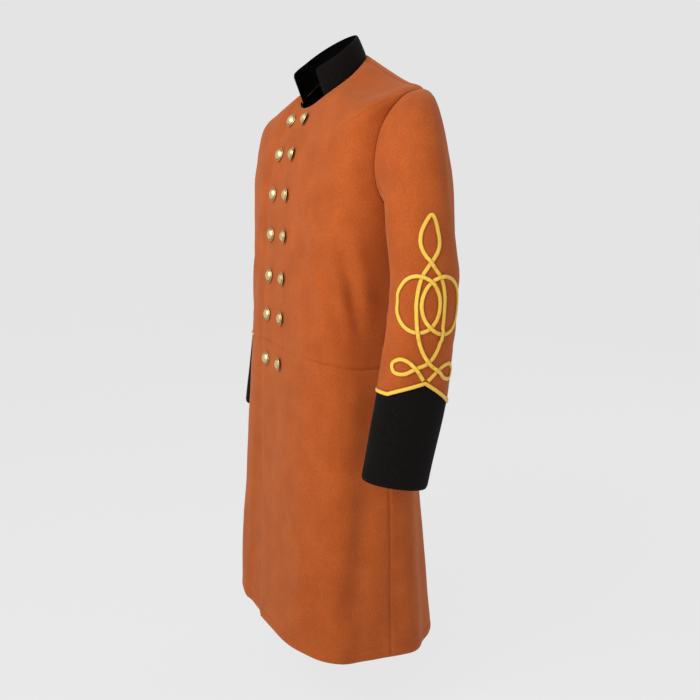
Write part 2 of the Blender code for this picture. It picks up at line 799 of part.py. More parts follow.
def cuff_braid(side):
    """A braid along the cuff's pointed edge, half on the cuff and half on the sleeve."""
    turns = np.concatenate([upper_turns(), under_turns()[1:-1]])
    outer = np.array([sleeve_point(turn, 2) for turn in turns])
    around = np.roll(outer, -1, axis=0) - np.roll(outer, 1, axis=0)
    normals = np.array([sleeve_normal(turn, 2) for turn in turns])
    across = np.cross(normals, around)
    across *= BRAID_WIDTH / 2 / np.linalg.norm(across, axis=1)[:, None]
    base = outer + normals * BRAID_LIFT
    crown = base + normals * BRAID_THICK
    grid_outer = np.stack([crown - across * BRAID_CROWN, crown + across * BRAID_CROWN])
    grid_inner = np.stack([base - across, base + across])
    name = "cuff_braid_" + side_name(side)
    braid(wall_mesh(name, mirrored(grid_outer, side), mirrored(grid_inner, side), True))


def faceted_cloth(walls):
    """A tree of the walls' facets, so that a button can be seated on them."""
    points = []
    faces = []
    for wall in walls:
        start = len(points)
        points.extend(vertex.co.copy() for vertex in wall.data.vertices)
        faces.extend([start + i for i in polygon.vertices] for polygon in wall.data.polygons)
    return BVHTree.FromPolygons(points, faces)


def button(name, angle, row, cloth):
    """A domed button with a rim, on a short shank that stands on the cloth's facets."""
    normal = body_normal(angle, row)
    start = body_point(angle, row) + normal * BUTTON_SEARCH
    point = np.array(cloth.ray_cast(Vector(start), Vector(-normal))[0])
    profile = (
        (0.0, BUTTON_SHANK + BUTTON_RIM + BUTTON_DOME),
        (0.60, BUTTON_SHANK + BUTTON_RIM + BUTTON_DOME * 0.68),
        (0.98, BUTTON_SHANK + BUTTON_RIM),
        (1.0, BUTTON_SHANK),
        (0.30, BUTTON_SHANK),
        (0.30, BUTTON_LIFT),
        (0.0, BUTTON_LIFT),
    )
    side = np.cross(normal, [0.0, 0.0, 1.0])
    side /= np.linalg.norm(side)
    up = np.cross(side, normal)
    points = []
    faces = []
    for share, height in profile:
        if share == 0:
            points.append(point + normal * height)
            continue
        for k in range(BUTTON_SIDES):
            turn = 2 * math.pi * k / BUTTON_SIDES
            spoke = side * math.cos(turn) + up * math.sin(turn)
            points.append(point + normal * height + spoke * BUTTON_RADIUS * share)
    rings = len(profile) - 2
    last = len(points) - 1
    for k in range(BUTTON_SIDES):
        n = (k + 1) % BUTTON_SIDES
        faces.append((0, 1 + k, 1 + n))
        for r in range(rings - 1):
            a, b = 1 + r * BUTTON_SIDES, 1 + (r + 1) * BUTTON_SIDES
            faces.append((a + k, b + k, b + n, a + n))
        a = 1 + (rings - 1) * BUTTON_SIDES
        faces.append((a + k, last, a + n))
    brass(solid_object(name, points, faces))


def button_row(height, x):
    """The angle and row of a button at this height and distance from centre front."""
    row = bisect(0, len(RINGS) - 1, lambda r: body_point(angle_of_x(x, r), r)[2] - height)
    return angle_of_x(x, row), row


def buttons(cloth):
    for number, height in enumerate(BUTTON_HEIGHTS, 1):
        for side in (1, -1):
            angle, row = button_row(height, side * BUTTON_ROW_X)
            button(f"button_{side_name(side)}_{number}", angle, row, cloth)


def main():
    clear_scene()
    walls = []
    for side in (1, -1):
        walls.append(front_panel(side))
        back_panel(side)
        walls.append(skirt_front(side))
        skirt_back(side)
        sleeve(side)
        cuff(side)
        cuff_braid(side)
        knot_strand(side)
        knot_ring(side, 1)
        knot_ring(side, -1)
    collar()
    buttons(faceted_cloth(walls[:2]))


main()
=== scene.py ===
"""Frock coat in rust-orange wool broadcloth, with a black stand collar, black pointed cuffs and yellow braid.

The coat stands filled out as if worn, in the CAD's frame: metres, +Z up, the front faces -Y, the left is +X.
"""

import json
import math

import bpy
import bmesh
import numpy as np
from mathutils import Matrix, Vector

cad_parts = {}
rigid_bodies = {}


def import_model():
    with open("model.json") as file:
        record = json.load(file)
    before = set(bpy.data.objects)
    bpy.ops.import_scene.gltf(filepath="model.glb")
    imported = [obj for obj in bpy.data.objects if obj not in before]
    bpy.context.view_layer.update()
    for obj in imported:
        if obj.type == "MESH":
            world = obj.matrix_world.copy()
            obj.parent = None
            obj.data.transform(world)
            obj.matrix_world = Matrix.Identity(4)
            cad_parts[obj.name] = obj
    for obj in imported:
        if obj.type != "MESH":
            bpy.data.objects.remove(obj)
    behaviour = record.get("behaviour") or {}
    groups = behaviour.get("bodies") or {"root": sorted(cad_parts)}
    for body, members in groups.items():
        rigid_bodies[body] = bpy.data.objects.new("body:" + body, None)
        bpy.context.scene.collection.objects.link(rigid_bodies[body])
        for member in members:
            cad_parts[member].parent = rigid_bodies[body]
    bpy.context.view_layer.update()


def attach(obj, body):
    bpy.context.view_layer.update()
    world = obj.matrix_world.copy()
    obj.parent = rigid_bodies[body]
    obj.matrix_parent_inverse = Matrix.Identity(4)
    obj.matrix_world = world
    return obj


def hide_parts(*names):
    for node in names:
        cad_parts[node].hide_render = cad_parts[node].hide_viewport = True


# The studio: the photo's camera, a pale floor that runs out to the pale surround, and large soft lights.
# The camera stands at the wearer's left, a little in front, and looks slightly down on the coat.
for startup in list(bpy.data.objects):
    bpy.data.objects.remove(startup, do_unlink=True)
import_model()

CAMERA_PLACE = (1.5656, -0.6887, -0.165)
CAMERA_DOWN = math.radians(10.616)
CAMERA_AWAY = (-0.9063, 0.4226)
CAMERA_LENS = 47.47
camera_data = bpy.data.cameras.new("camera")
camera_data.lens = CAMERA_LENS
camera_data.sensor_width = 36.0
camera = bpy.data.objects.new("camera", camera_data)
bpy.context.scene.collection.objects.link(camera)
camera.location = CAMERA_PLACE
level = math.cos(CAMERA_DOWN)
sight = Vector((CAMERA_AWAY[0] * level, CAMERA_AWAY[1] * level, -math.sin(CAMERA_DOWN)))
camera.rotation_euler = sight.to_track_quat("-Z", "Y").to_euler()
bpy.context.scene.camera = camera
bpy.context.scene.view_settings.view_transform = "Standard"


def colour(code):
    """The linear colour of an sRGB hex code."""
    parts = [int(code[k : k + 2], 16) / 255 for k in (0, 2, 4)]
    return (*[p / 12.92 if p <= 0.04045 else ((p + 0.055) / 1.055) ** 2.4 for p in parts], 1.0)


def add_node(material, kind, sockets=None, **settings):
    """Adds a node with its settings, and with values or links on its input sockets."""
    made = material.node_tree.nodes.new("ShaderNode" + kind)
    for name, value in settings.items():
        setattr(made, name, value)
    for name, value in (sockets or {}).items():
        if isinstance(value, bpy.types.NodeSocket):
            material.node_tree.links.new(value, made.inputs[name])
        else:
            made.inputs[name].default_value = value
    return made


ROOM_LIGHT = 0.17
world = bpy.data.worlds.new("room light")
world.use_nodes = True
world.node_tree.nodes["Background"].inputs["Color"].default_value = (1.0, 0.985, 0.965, 1.0)
world.node_tree.nodes["Background"].inputs["Strength"].default_value = ROOM_LIGHT
bpy.context.scene.world = world

# The surround is a plain pale dome that is seen but casts no diffuse light. The floor is paper of the same
# shade, just under the hem, and it matches the dome far away.
FLOOR_SHADE = 0.07
PAPER_GLOW = 0.7758
PAPER_FINISHES = (("surround", 0.0, PAPER_GLOW), ("floor", FLOOR_SHADE, PAPER_GLOW - FLOOR_SHADE * ROOM_LIGHT))
bpy.ops.object.select_all(action="DESELECT")
bpy.ops.mesh.primitive_uv_sphere_add(segments=48, ring_count=24, radius=50, location=(0, 0, 0))
dome = bpy.context.object
dome.name = "surround"
dome.visible_diffuse = False
dome.visible_shadow = False
bpy.ops.mesh.primitive_circle_add(vertices=96, radius=49, fill_type="NGON", location=(0, 0, -1.13))
floor = bpy.context.object
floor.name = "floor"
for stage_name, shade, glow in PAPER_FINISHES:
    finish = bpy.data.materials.new("pale paper " + stage_name)
    finish.use_nodes = True
    paper = finish.node_tree.nodes["Principled BSDF"]
    paper.inputs["Base Color"].default_value = (shade, shade, shade, 1.0)
    paper.inputs["Roughness"].default_value = 1.0
    paper.inputs["Specular IOR Level"].default_value = 0.0
    paper.inputs["Emission Color"].default_value = (1.0, 1.0, 1.0, 1.0)
    paper.inputs["Emission Strength"].default_value = glow
    bpy.data.objects[stage_name].data.materials.append(finish)

# Columns: name, place, aim, size, power in watts.
LIGHTS = (
    ("front_light", (0.6, -1.6, 1.15), (0.0, 0.0, -0.15), 1.1, 31),
    ("low_light", (1.1, -2.0, 0.10), (0.0, 0.0, -0.35), 1.3, 11),
    ("camera_light", (1.45, -1.2, 0.05), (0.0, 0.0, -0.30), 0.8, 8),
    ("side_light", (1.8, 1.7, 0.2), (0.0, 0.0, -0.40), 1.2, 7),
    ("top_light", (0.1, 0.7, 2.0), (0.0, 0.0, -0.40), 1.8, 2),
    ("back_light", (-0.8, 2.4, 0.9), (0.0, 0.0, -0.40), 1.8, 15),
)
for name, place, aim, size, power in LIGHTS:
    light_data = bpy.data.lights.new(name, "AREA")
    light_data.size = size
    light_data.energy = power
    light = bpy.data.objects.new(name, light_data)
    bpy.context.scene.collection.objects.link(light)
    light.location = place
    light.rotation_euler = (Vector(aim) - Vector(place)).to_track_quat("-Z", "Y").to_euler()

# The two fore-parts: heavy wool broadcloth, backed with black lining, the left one lapped over the right.
# They run from the neck to the waist seam. The cloth pulls softly from under the arm towards the chest.
CLOTH = 0.0025
SEAM_GAP = 0.0003
SHOULDER_SEAM_GAP = 0.0007
LAP_REACH = 0.066
NECK_LAP_REACH = 0.050
SKIRT_LAP_REACH = 0.010
LAP_SINK = 0.0039
LAP_RAMP = 0.030
SKIRT_LAP_SINK = 0.006
WAIST_X = (-0.060, 0.000, 0.080, 0.130, 0.165, 0.190, 0.206)
WAIST_Z = (-0.461, -0.463, -0.467, -0.469, -0.472, -0.476, -0.484)
HEM_FRONT_Z = -0.993
HEM_SIDE_Z = -1.003
HEM_BACK_Z = -1.018
SIDE_SEAM = 93.0
NECK_SEAM = 127.0
ARMHOLE_TOP_Z = -0.027
ARMHOLE_BOTTOM_Z = -0.225
ARMHOLE_MIDDLE_Y = 0.044
ARMHOLE_SKEW = 0.15
ARMHOLE_HALF_WIDTH = 0.069
SHOULDER_ROW = 4
UNDERARM_ROW = 8
PANEL_LENGTH = 0.24
FRONT_WIDTH = 0.27
STEP = 0.0065
EDGE_STEPS = (0.0, 0.0002, 0.0006, 0.00125, 0.0026, 0.0045, 0.0057, 0.0065, 0.0073)
FROM_EDGE = len(EDGE_STEPS) - 1
TOPSTITCH = 7

# Columns: half_width, front_depth, back_depth, middle_y, front_square, back_square, front_z, side_z,
# back_z, swell.
RINGS = (
    (0.074, 0.0560, 0.055, 0.008, 2.10, 2.00, -0.044, 0.0070, 0.053, 0.003),
    (0.100, 0.0660, 0.066, 0.012, 2.60, 2.05, -0.058, 0.0040, 0.038, 0.009),
    (0.142, 0.0780, 0.080, 0.017, 3.00, 2.15, -0.072, -0.0136, 0.017, 0.014),
    (0.188, 0.0885, 0.088, 0.022, 3.50, 2.25, -0.088, -0.0258, -0.006, 0.014),
    (0.232, 0.1000, 0.092, 0.027, 3.90, 2.30, -0.104, -0.0335, -0.032, 0.009),
    (0.234, 0.1060, 0.096, 0.024, 3.90, 2.35, -0.125, -0.0705, -0.070, 0.004),
    (0.237, 0.1070, 0.104, 0.020, 3.80, 2.40, -0.150, -0.1125, -0.115, 0.000),
    (0.237, 0.1080, 0.110, 0.014, 3.60, 2.40, -0.185, -0.1650, -0.165, 0.000),
    (0.234, 0.1075, 0.114, 0.010, 3.30, 2.45, -0.225, -0.2250, -0.225, 0.000),
    (0.224, 0.1080, 0.112, 0.006, 3.20, 2.50, -0.300, -0.3000, -0.300, 0.000),
    (0.212, 0.1110, 0.106, 0.004, 3.40, 2.50, -0.380, -0.3800, -0.380, 0.000),
    (0.204, 0.1135, 0.102, 0.002, 3.70, 2.50, -0.456, -0.4560, -0.456, 0.000),
    (0.208, 0.1170, 0.108, 0.002, 3.70, 2.50, -0.520, -0.5200, -0.520, 0.000),
    (0.218, 0.1250, 0.123, 0.002, 3.70, 2.45, -0.650, -0.6500, -0.650, 0.000),
    (0.225, 0.1330, 0.138, 0.002, 3.70, 2.40, -0.780, -0.7800, -0.780, 0.000),
    (0.228, 0.1420, 0.151, 0.002, 3.60, 2.40, -0.900, -0.9000, -0.900, 0.000),
    (0.230, 0.1550, 0.166, 0.002, 3.20, 2.40, -1.040, -1.0400, -1.040, 0.000),
)

# Soft creases on the body's left, mirrored unevenly on its right.
# Columns: first turn, first z, last turn, last z, bow, width, depth (below 0 a ridge). Turns are in degrees.
BODY_CREASES = (
    (84, -0.446, 44, -0.236, 0.010, 0.013, 0.0040),
    (76, -0.420, 31, -0.150, 0.014, 0.012, 0.0038),
    (70, -0.444, 27, -0.270, 0.006, 0.011, 0.0030),
    (50, -0.440, 12, -0.180, 0.008, 0.016, -0.0020),
    (58, -0.205, 40, -0.120, 0.004, 0.012, 0.0022),
    (102, -0.440, 128, -0.300, -0.008, 0.013, 0.0034),
    (112, -0.452, 146, -0.360, -0.006, 0.012, 0.0026),
    (128, -0.215, 150, -0.150, 0.006, 0.014, 0.0024),
    (140, -0.100, 166, -0.060, 0.004, 0.016, 0.0016),
    (47, -0.500, 44, -0.700, 0.004, 0.013, 0.0014),
    (60, -0.492, 58, -0.680, -0.004, 0.013, 0.0015),
    (74, -0.490, 73, -0.640, 0.004, 0.011, 0.0016),
    (14, -0.520, 17, -0.640, 0.003, 0.015, 0.0012),
    (88, -0.660, 66, -0.985, -0.012, 0.019, 0.0046),
    (52, -0.780, 47, -0.985, 0.006, 0.022, 0.0022),
    (28, -0.800, 25, -0.985, 0.004, 0.024, -0.0020),
    (104, -0.520, 110, -0.760, 0.005, 0.014, 0.0022),
    (134, -0.520, 140, -0.800, 0.005, 0.015, 0.0022),
    (162, -0.540, 160, -0.900, 0.005, 0.016, 0.0024),
    (95, -0.800, 98, -0.990, 0.004, 0.014, 0.0024),
)


def smooth_rows(table, row):
    """The table's values at places between its rows, on a curve through them."""
    values = np.array(table, float)
    last = len(values) - 1
    low = np.clip(np.floor(row).astype(int), 0, last - 1)
    part = (row - low)[..., None]
    padded = np.concatenate([[2 * values[0] - values[1]], values, [2 * values[-1] - values[-2]]])
    before, start, end, after = (padded[low + k] for k in range(4))
    bend_in, bend_out = (end - before) / 2, (after - start) / 2
    cubic = 2 * start - 2 * end + bend_in + bend_out
    square = -3 * start + 3 * end - 2 * bend_in - bend_out
    return start + part * (bend_in + part * (square + part * cubic))


def ease(low, high, value):
    part = np.clip((value - low) / (high - low), 0.0, 1.0)
    return part * part * (3 - 2 * part)


def body_points(turn, row):
    """Points of the body's outer surface. The turn is 0 in front, 90 at the left side and 180 behind."""
    turn, row = np.broadcast_arrays(np.asarray(turn, float), np.asarray(row, float))
    ring = np.moveaxis(smooth_rows(RINGS, row), -1, 0)
    half_width, front_depth, back_depth, middle_y, front_square, back_square = ring[:6]
    front_z, side_z, back_z, swell = ring[6:]
    sine, cosine = np.sin(np.radians(turn)), np.cos(np.radians(turn))
    power = 2 / np.where(cosine > 0, front_square, back_square)
    across = np.sign(sine) * np.abs(sine) ** power
    along = -np.sign(cosine) * np.abs(cosine) ** power
    depth = np.where(along < 0, front_depth, back_depth)
    z = side_z + (back_z - front_z) / 2 * along + ((back_z + front_z) / 2 - side_z) * along**2
    z = z + np.where(along < 0, 4 * swell * along**2 * (1 - along**2), 0.0)
    return np.stack([half_width * across, middle_y + depth * along, z], -1)


def lengths(vectors):
    return np.linalg.norm(vectors, axis=-1)


def unit(vectors):
    return vectors / lengths(vectors)[..., None]


def body_normals(turn, row):
    around = body_points(turn + 0.5, row) - body_points(turn - 0.5, row)
    below, above = np.minimum(row + 0.02, len(RINGS) - 1), np.maximum(row - 0.02, 0)
    down = body_points(turn, below) - body_points(turn, above)
    return unit(np.cross(down, around))


LOW_ROWS = np.linspace(UNDERARM_ROW, len(RINGS) - 1, 400)
LOW_HEIGHTS = -smooth_rows(RINGS, LOW_ROWS)[:, 7]


def row_of_height(z):
    return np.interp(-np.asarray(z, float), LOW_HEIGHTS, LOW_ROWS)


def turn_of_x(x, row):
    """The turn at which a ring's front half is at this x."""
    ring = smooth_rows(RINGS, np.asarray(row, float))
    return np.degrees(np.arcsin(np.sign(x) * (np.abs(x) / ring[..., 0]) ** (ring[..., 4] / 2)))


def bisect(low, high, value):
    """The places between low and high where value changes sign."""
    low, high = np.asarray(low, float), np.asarray(high, float)
    low_sign = value(low) > 0
    for _ in range(36):
        middle = (low + high) / 2
        same = (value(middle) > 0) == low_sign
        low, high = np.where(same, middle, low), np.where(same, high, middle)
    return (low + high) / 2


ARMHOLE_MIDDLE_Z = (ARMHOLE_TOP_Z + ARMHOLE_BOTTOM_Z) / 2


def armhole_value(points):
    """Below 0 inside the armhole, 0 on its edge."""
    half_height = (ARMHOLE_TOP_Z - ARMHOLE_BOTTOM_Z) / 2
    up = points[..., 2] - ARMHOLE_MIDDLE_Z
    out = points[..., 1] - ARMHOLE_MIDDLE_Y - ARMHOLE_SKEW * up
    return (out / ARMHOLE_HALF_WIDTH) ** 2 + (up / half_height) ** 2 - 1


def armhole_middle_turn(row):
    row = np.asarray(row, float)

    def behind(turn):
        points = body_points(turn, row)
        return points[..., 1] - ARMHOLE_MIDDLE_Y - ARMHOLE_SKEW * (points[..., 2] - ARMHOLE_MIDDLE_Z)

    return bisect(np.full(row.shape, 50.0), np.full(row.shape, 150.0), behind)


def armhole_row(z):
    """The rows whose rings cross the armhole's middle line at these heights."""
    z = np.asarray(z, float)

    def above(row):
        return body_points(armhole_middle_turn(row), row)[..., 2] - z

    return bisect(np.full(z.shape, SHOULDER_ROW - 1.0), np.full(z.shape, UNDERARM_ROW + 1.0), above)


ARMHOLE_TOP_ROW = float(armhole_row(ARMHOLE_TOP_Z))
ARMHOLE_BOTTOM_ROW = float(armhole_row(ARMHOLE_BOTTOM_Z))
TOP_TURN = float(armhole_middle_turn(ARMHOLE_TOP_ROW))
BOTTOM_TURN = float(armhole_middle_turn(ARMHOLE_BOTTOM_ROW))


def seam_turn(row, back):
    """Where the front ends and the back starts on a ring: the shoulder seam, the armhole or the side seam."""
    row = np.asarray(row, float)
    shoulder = NECK_SEAM + (TOP_TURN - NECK_SEAM) * row / ARMHOLE_TOP_ROW
    held = np.clip(row, ARMHOLE_TOP_ROW, ARMHOLE_BOTTOM_ROW)
    far = np.full(row.shape, 160.0 if back else 40.0)
    hole = bisect(armhole_middle_turn(held), far, lambda turn: armhole_value(body_points(turn, held)))
    down = ease(ARMHOLE_BOTTOM_ROW, ARMHOLE_BOTTOM_ROW + 3, row)
    side = BOTTOM_TURN + (SIDE_SEAM - BOTTOM_TURN) * down
    low = np.where(row < ARMHOLE_BOTTOM_ROW - 1e-4, hole, side)
    return np.where(row <= ARMHOLE_TOP_ROW, shoulder, low)


def gap_turn(turn, row, gap):
    """The change of turn that spans a gap on the ring at this turn, in degrees."""
    return gap / lengths(body_points(turn + 0.5, row) - body_points(turn - 0.5, row))


def seam_gap(row):
    return np.where(row < ARMHOLE_TOP_ROW - 1e-4, SHOULDER_SEAM_GAP, SEAM_GAP)


def body_places(turn, z):
    """Points of the body's surface at these turns and heights."""
    turn, z = np.asarray(turn, float), np.asarray(z, float)
    first, last = np.full(z.shape, 2.0), np.full(z.shape, len(RINGS) - 1.0)
    row = bisect(first, last, lambda r: body_points(turn, r)[..., 2] - z)
    return body_points(turn, row)


def crease_lines(table, places, side, unevenness):
    """The table's creases as lines of points on one side of the coat, each with its width and depth."""
    shift = np.random.default_rng(7)
    lines = []
    for first, top, last, low, bow, width, depth in table:
        part = np.linspace(0, 1, 15)
        turn, lean, strength = first + (last - first) * part, *shift.uniform(-1, 1, 2)
        turn = turn + unevenness * 3.0 * lean
        line = places(turn, top + (low - top) * part)
        away = [0.0, -0.7, 0.0] if abs(first) < 45 else [0.7, 0.0, 0.0]
        across = unit(np.cross(line[-1] - line[0], away))
        line = line + np.sin(math.pi * part)[:, None] * across * bow
        lines.append((line * [side, 1, 1], width, depth * (1 + 0.3 * unevenness * strength)))
    return lines


CREASE_START = 0.22
CREASE_END = 0.40
BANK_PLACE = 1.8
BANK_SHARE = 0.40


def relief(points, lines):
    """How far soft creases and the cloth's slight unevenness move points inwards."""
    x, y, z = np.moveaxis(points, -1, 0)
    total = 0.0005 * np.sin(34 * x + 11 * z + 1.1) * np.sin(23 * z - 17 * y + 0.4)
    total = total + 0.0003 * np.sin(61 * x - 40 * z + 2.0) * np.sin(47 * y + 29 * z)
    for line, width, depth in lines:
        nearest, along = np.full(x.shape, 1.0), np.zeros(x.shape)
        for k in range(len(line) - 1):
            leg = line[k + 1] - line[k]
            part = np.clip((points - line[k]) @ leg / (leg @ leg), 0, 1)
            far = lengths(points - line[k] - part[..., None] * leg)
            along = np.where(far < nearest, (k + part) / (len(line) - 1), along)
            nearest = np.minimum(nearest, far)
        fade = ease(0, CREASE_START, along) * ease(0, CREASE_END, 1 - along)
        trough = np.exp(-((nearest / width) ** 2))
        banks = np.exp(-(((nearest - BANK_PLACE * width) / width) ** 2))
        total = total + depth * fade * (trough - BANK_SHARE * banks)
    return total


BODY_LINES = crease_lines(BODY_CREASES, body_places, 1, 0) + crease_lines(BODY_CREASES, body_places, -1, 1)


def fine_steps(length, step, extra=()):
    """Shares of a length at even steps, closer together at both ends and round the extra places."""
    edge = np.array(EDGE_STEPS)
    count = max(int((length - 2 * edge[-1]) / step), 2)
    fixed = np.concatenate([edge, length - edge, extra])
    even = np.linspace(edge[-1], length - edge[-1], count + 1)[1:-1]
    even = [place for place in even if np.abs(fixed - place).min() > 0.35 * step]
    return np.unique(np.concatenate([fixed, even])) / length


def edge_distances(outer, closed_round):
    """Each grid point's distance from the first row, the last row, the first column and the last column."""
    down, around = (np.cumsum(lengths(np.diff(outer, axis=axis)), axis=axis) for axis in (0, 1))
    down = np.pad(down, ((1, 0), (0, 0)))
    around = np.pad(around, ((0, 0), (1, 0)))
    far = np.full(down.shape, 1.0)
    sides = (far, far) if closed_round else (around, around[:, -1:] - around)
    return (down, down[-1:] - down, *sides), around, down


SEAM_TURNING = 0.0006
SEAM_DIP = 0.0020
SEAM_WIDTH = 0.0028
EDGE_DIP = 0.0016
EDGE_WIDTH = 0.0038
STITCH_DIP = 0.0004
STITCH_WIDTH = 0.0011
ARMHOLE_DIP = 0.25
SEAM_LINES = (np.s_[0, :], np.s_[-1, :], np.s_[:, 0], np.s_[:, -1])
SEAM_INNER_LINES = (np.s_[4, :], np.s_[-5, :], np.s_[:, 4], np.s_[:, -5])


def cloth(name, outer, normals, thick, edges, materials, closed_round=False, neck=False, full_dip=1.0):
    """A piece of cloth from a grid of points.

    An edge is a "seam", which dips, or "free" and rounded, or "stitched" as well. The neck's cut edge takes
    the near-black lining, as painted shade where the neck opening is dark.
    """
    distances, around, down = edge_distances(outer, closed_round)
    dip = np.zeros(around.shape)
    full = np.ones(around.shape)
    for kind, away in zip(edges, distances):
        if kind == "seam":
            dip = np.maximum(dip, SEAM_DIP * full_dip * np.exp(-((away / SEAM_WIDTH) ** 2)))
        else:
            dip = np.maximum(dip, EDGE_DIP * np.exp(-((away / EDGE_WIDTH) ** 2)))
            if kind == "stitched":
                from_stitches = (away - EDGE_STEPS[TOPSTITCH]) / STITCH_WIDTH
                dip = dip + STITCH_DIP * np.exp(-(from_stitches**2))
            full = np.minimum(full, np.sqrt(1 - (1 - np.clip(away / (thick / 2), 0.01, 1)) ** 2))
    middle = outer - normals * (dip + thick / 2)[..., None]
    front = middle + normals * (thick / 2 * full)[..., None]
    behind = middle - normals * (thick / 2 * full)[..., None]
    # Behind a seam the turnings of both pieces lie edge to edge, so that nothing shows through.
    for kind, line, inner_line in zip(edges, SEAM_LINES, SEAM_INNER_LINES):
        if kind == "seam":
            behind[line] += unit(outer[line] - outer[inner_line]) * SEAM_TURNING
    rows, columns = around.shape
    grid = np.arange(rows * columns).reshape(rows, columns)
    chart = np.stack([around, -down], -1)
    if closed_round:
        last = around[:, -1] + lengths(outer[:, 0] - outer[:, -1])
        grid = np.concatenate([grid, grid[:, :1]], 1)
        chart = np.concatenate([chart, np.stack([last, -down[:, 0]], -1)[:, None]], 1)
    inside = grid + rows * columns

    def quads(a, b, c, d):
        return np.stack([x.reshape(-1, *x.shape[2:]) for x in (a, b, c, d)], 1)

    faces, charts, count = [], [], []
    for ids, flip in ((grid, False), (inside, True)):
        corners = [ids[:-1, :-1], ids[1:, :-1], ids[1:, 1:], ids[:-1, 1:]]
        places = [chart[:-1, :-1], chart[1:, :-1], chart[1:, 1:], chart[:-1, 1:]]
        turned = slice(None, None, -1) if flip else slice(None)
        faces.append(quads(*corners)[:, turned])
        charts.append(quads(*places)[:, turned])
        count.append(len(faces[-1]))
    rims = [(np.s_[0:1, :], True), (np.s_[-1:, :], False)]
    if not closed_round:
        rims += [(np.s_[:, 0:1], False), (np.s_[:, -1:], True)]
    for where, flip in rims:
        a, b = grid[where].ravel(), inside[where].ravel()
        spot = chart[where].reshape(-1, 2)
        rim = np.stack([a[:-1], b[:-1], b[1:], a[1:]], 1)
        turned = slice(None, None, -1) if flip else slice(None)
        faces.append(rim[:, turned])
        charts.append(np.stack([spot[:-1], spot[:-1], spot[1:], spot[1:]], 1)[:, turned])
        count.append(len(rim))
    faces, charts = np.concatenate(faces), np.concatenate(charts)
    points = np.concatenate([front.reshape(-1, 3), behind.reshape(-1, 3)])
    a, b, c, d = (points[faces[:, k]] for k in range(4))
    if (np.cross(c - a, d - b) * (a + b + c + d)).sum() < 0:
        faces, charts = faces[:, ::-1], charts[:, ::-1]
    mesh = bpy.data.meshes.new(name)
    mesh.from_pydata(points.tolist(), [], faces.tolist())
    mesh.uv_layers.new(name="chart").data.foreach_set("uv", charts.astype(np.float32).ravel())
    for material in materials:
        mesh.materials.append(material)
    slots = np.zeros(len(faces), np.int32)
    # With neck, the neck rims take the lining's near black too: painted shade along the neck opening.
    slots[count[0] : count[0] + count[1] + (count[2] if neck else 0)] = len(materials) - 1
    mesh.polygons.foreach_set("material_index", slots)
    mesh.shade_smooth()
    mesh.set_sharp_from_angle(angle=math.radians(60))
    piece = bpy.data.objects.new(name, mesh)
    bpy.context.scene.collection.objects.link(piece)
    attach(piece, "root")
    return piece


# Broadcloth is a fulled, napped wool: a felted face with a faint twill under it, matt, with a soft bloom.
wool = bpy.data.materials.new("rust wool broadcloth")
wool.use_nodes = True
wool_place = add_node(wool, "TexCoord").outputs["Object"]
wool_mottle = add_node(wool, "TexNoise", {"Vector": wool_place, "Scale": 22.0, "Detail": 4.0})
wool_nap = add_node(wool, "TexNoise", {"Vector": wool_place, "Scale": 520.0, "Detail": 3.0, "Roughness": 0.7})
wool_tone = add_node(wool, "ValToRGB", {"Fac": wool_mottle.outputs["Fac"]})
wool_tone.color_ramp.elements[0].position = 0.30
wool_tone.color_ramp.elements[0].color = colour("ad521d")
wool_tone.color_ramp.elements[1].position = 0.70
wool_tone.color_ramp.elements[1].color = colour("bb5c24")
wool_fibre = add_node(wool, "ValToRGB", {"Fac": wool_nap.outputs["Fac"]})
wool_fibre.color_ramp.elements[0].position = 0.32
wool_fibre.color_ramp.elements[0].color = colour("dccfc6")
wool_fibre.color_ramp.elements[1].position = 0.68
wool_fibre.color_ramp.elements[1].color = colour("ffffff")
wool_tones = {"Color1": wool_tone.outputs["Color"], "Color2": wool_fibre.outputs["Color"], "Fac": 1.0}
wool_colour = add_node(wool, "MixRGB", wool_tones, blend_type="MULTIPLY")
# The twill's ribs are 1.2 mm apart, about twice the real spacing, so that they show close up.
wool_chart = add_node(wool, "UVMap", uv_map="chart").outputs["UV"]
wool_ribs = {"Vector": wool_chart, "Scale": 185.0, "Distortion": 1.5, "Detail": 1.0}
wool_twill = add_node(wool, "TexWave", wool_ribs, bands_direction="DIAGONAL")
wool_height = add_node(wool, "Math", {0: wool_twill.outputs["Fac"], 1: 0.22}, operation="MULTIPLY")
wool_rough = add_node(wool, "Math", {0: wool_nap.outputs["Fac"], 1: wool_height.outputs[0]}, operation="ADD")
wool_bump = add_node(wool, "Bump", {"Height": wool_rough.outputs[0], "Strength": 0.40, "Distance": 0.0005})
wool_surface = wool.node_tree.nodes["Principled BSDF"]
wool.node_tree.links.new(wool_colour.outputs["Color"], wool_surface.inputs["Base Color"])
wool.node_tree.links.new(wool_bump.outputs["Normal"], wool_surface.inputs["Normal"])
wool_surface.inputs["Roughness"].default_value = 0.92
wool_surface.inputs["Specular IOR Level"].default_value = 0.18
wool_surface.inputs["Sheen Weight"].default_value = 0.30
wool_surface.inputs["Sheen Roughness"].default_value = 0.45
wool_surface.inputs["Sheen Tint"].default_value = colour("f0b080")

# Black satin lining, quite dark inside the coat: a fine smooth weave with a weak gloss. Its colour is near
# pure black, darker than any cloth, so that it also carries painted shade inside the coat.
lining = bpy.data.materials.new("black satin lining with painted inner shade")
lining.use_nodes = True
lining_chart = add_node(lining, "UVMap", uv_map="chart").outputs["UV"]
lining_weave = add_node(lining, "TexWave", {"Vector": lining_chart, "Scale": 260.0, "Distortion": 0.6})
lining_relief = {"Height": lining_weave.outputs["Fac"], "Strength": 0.15, "Distance": 0.0002}
lining_bump = add_node(lining, "Bump", lining_relief)
lining_surface = lining.node_tree.nodes["Principled BSDF"]
lining.node_tree.links.new(lining_bump.outputs["Normal"], lining_surface.inputs["Normal"])
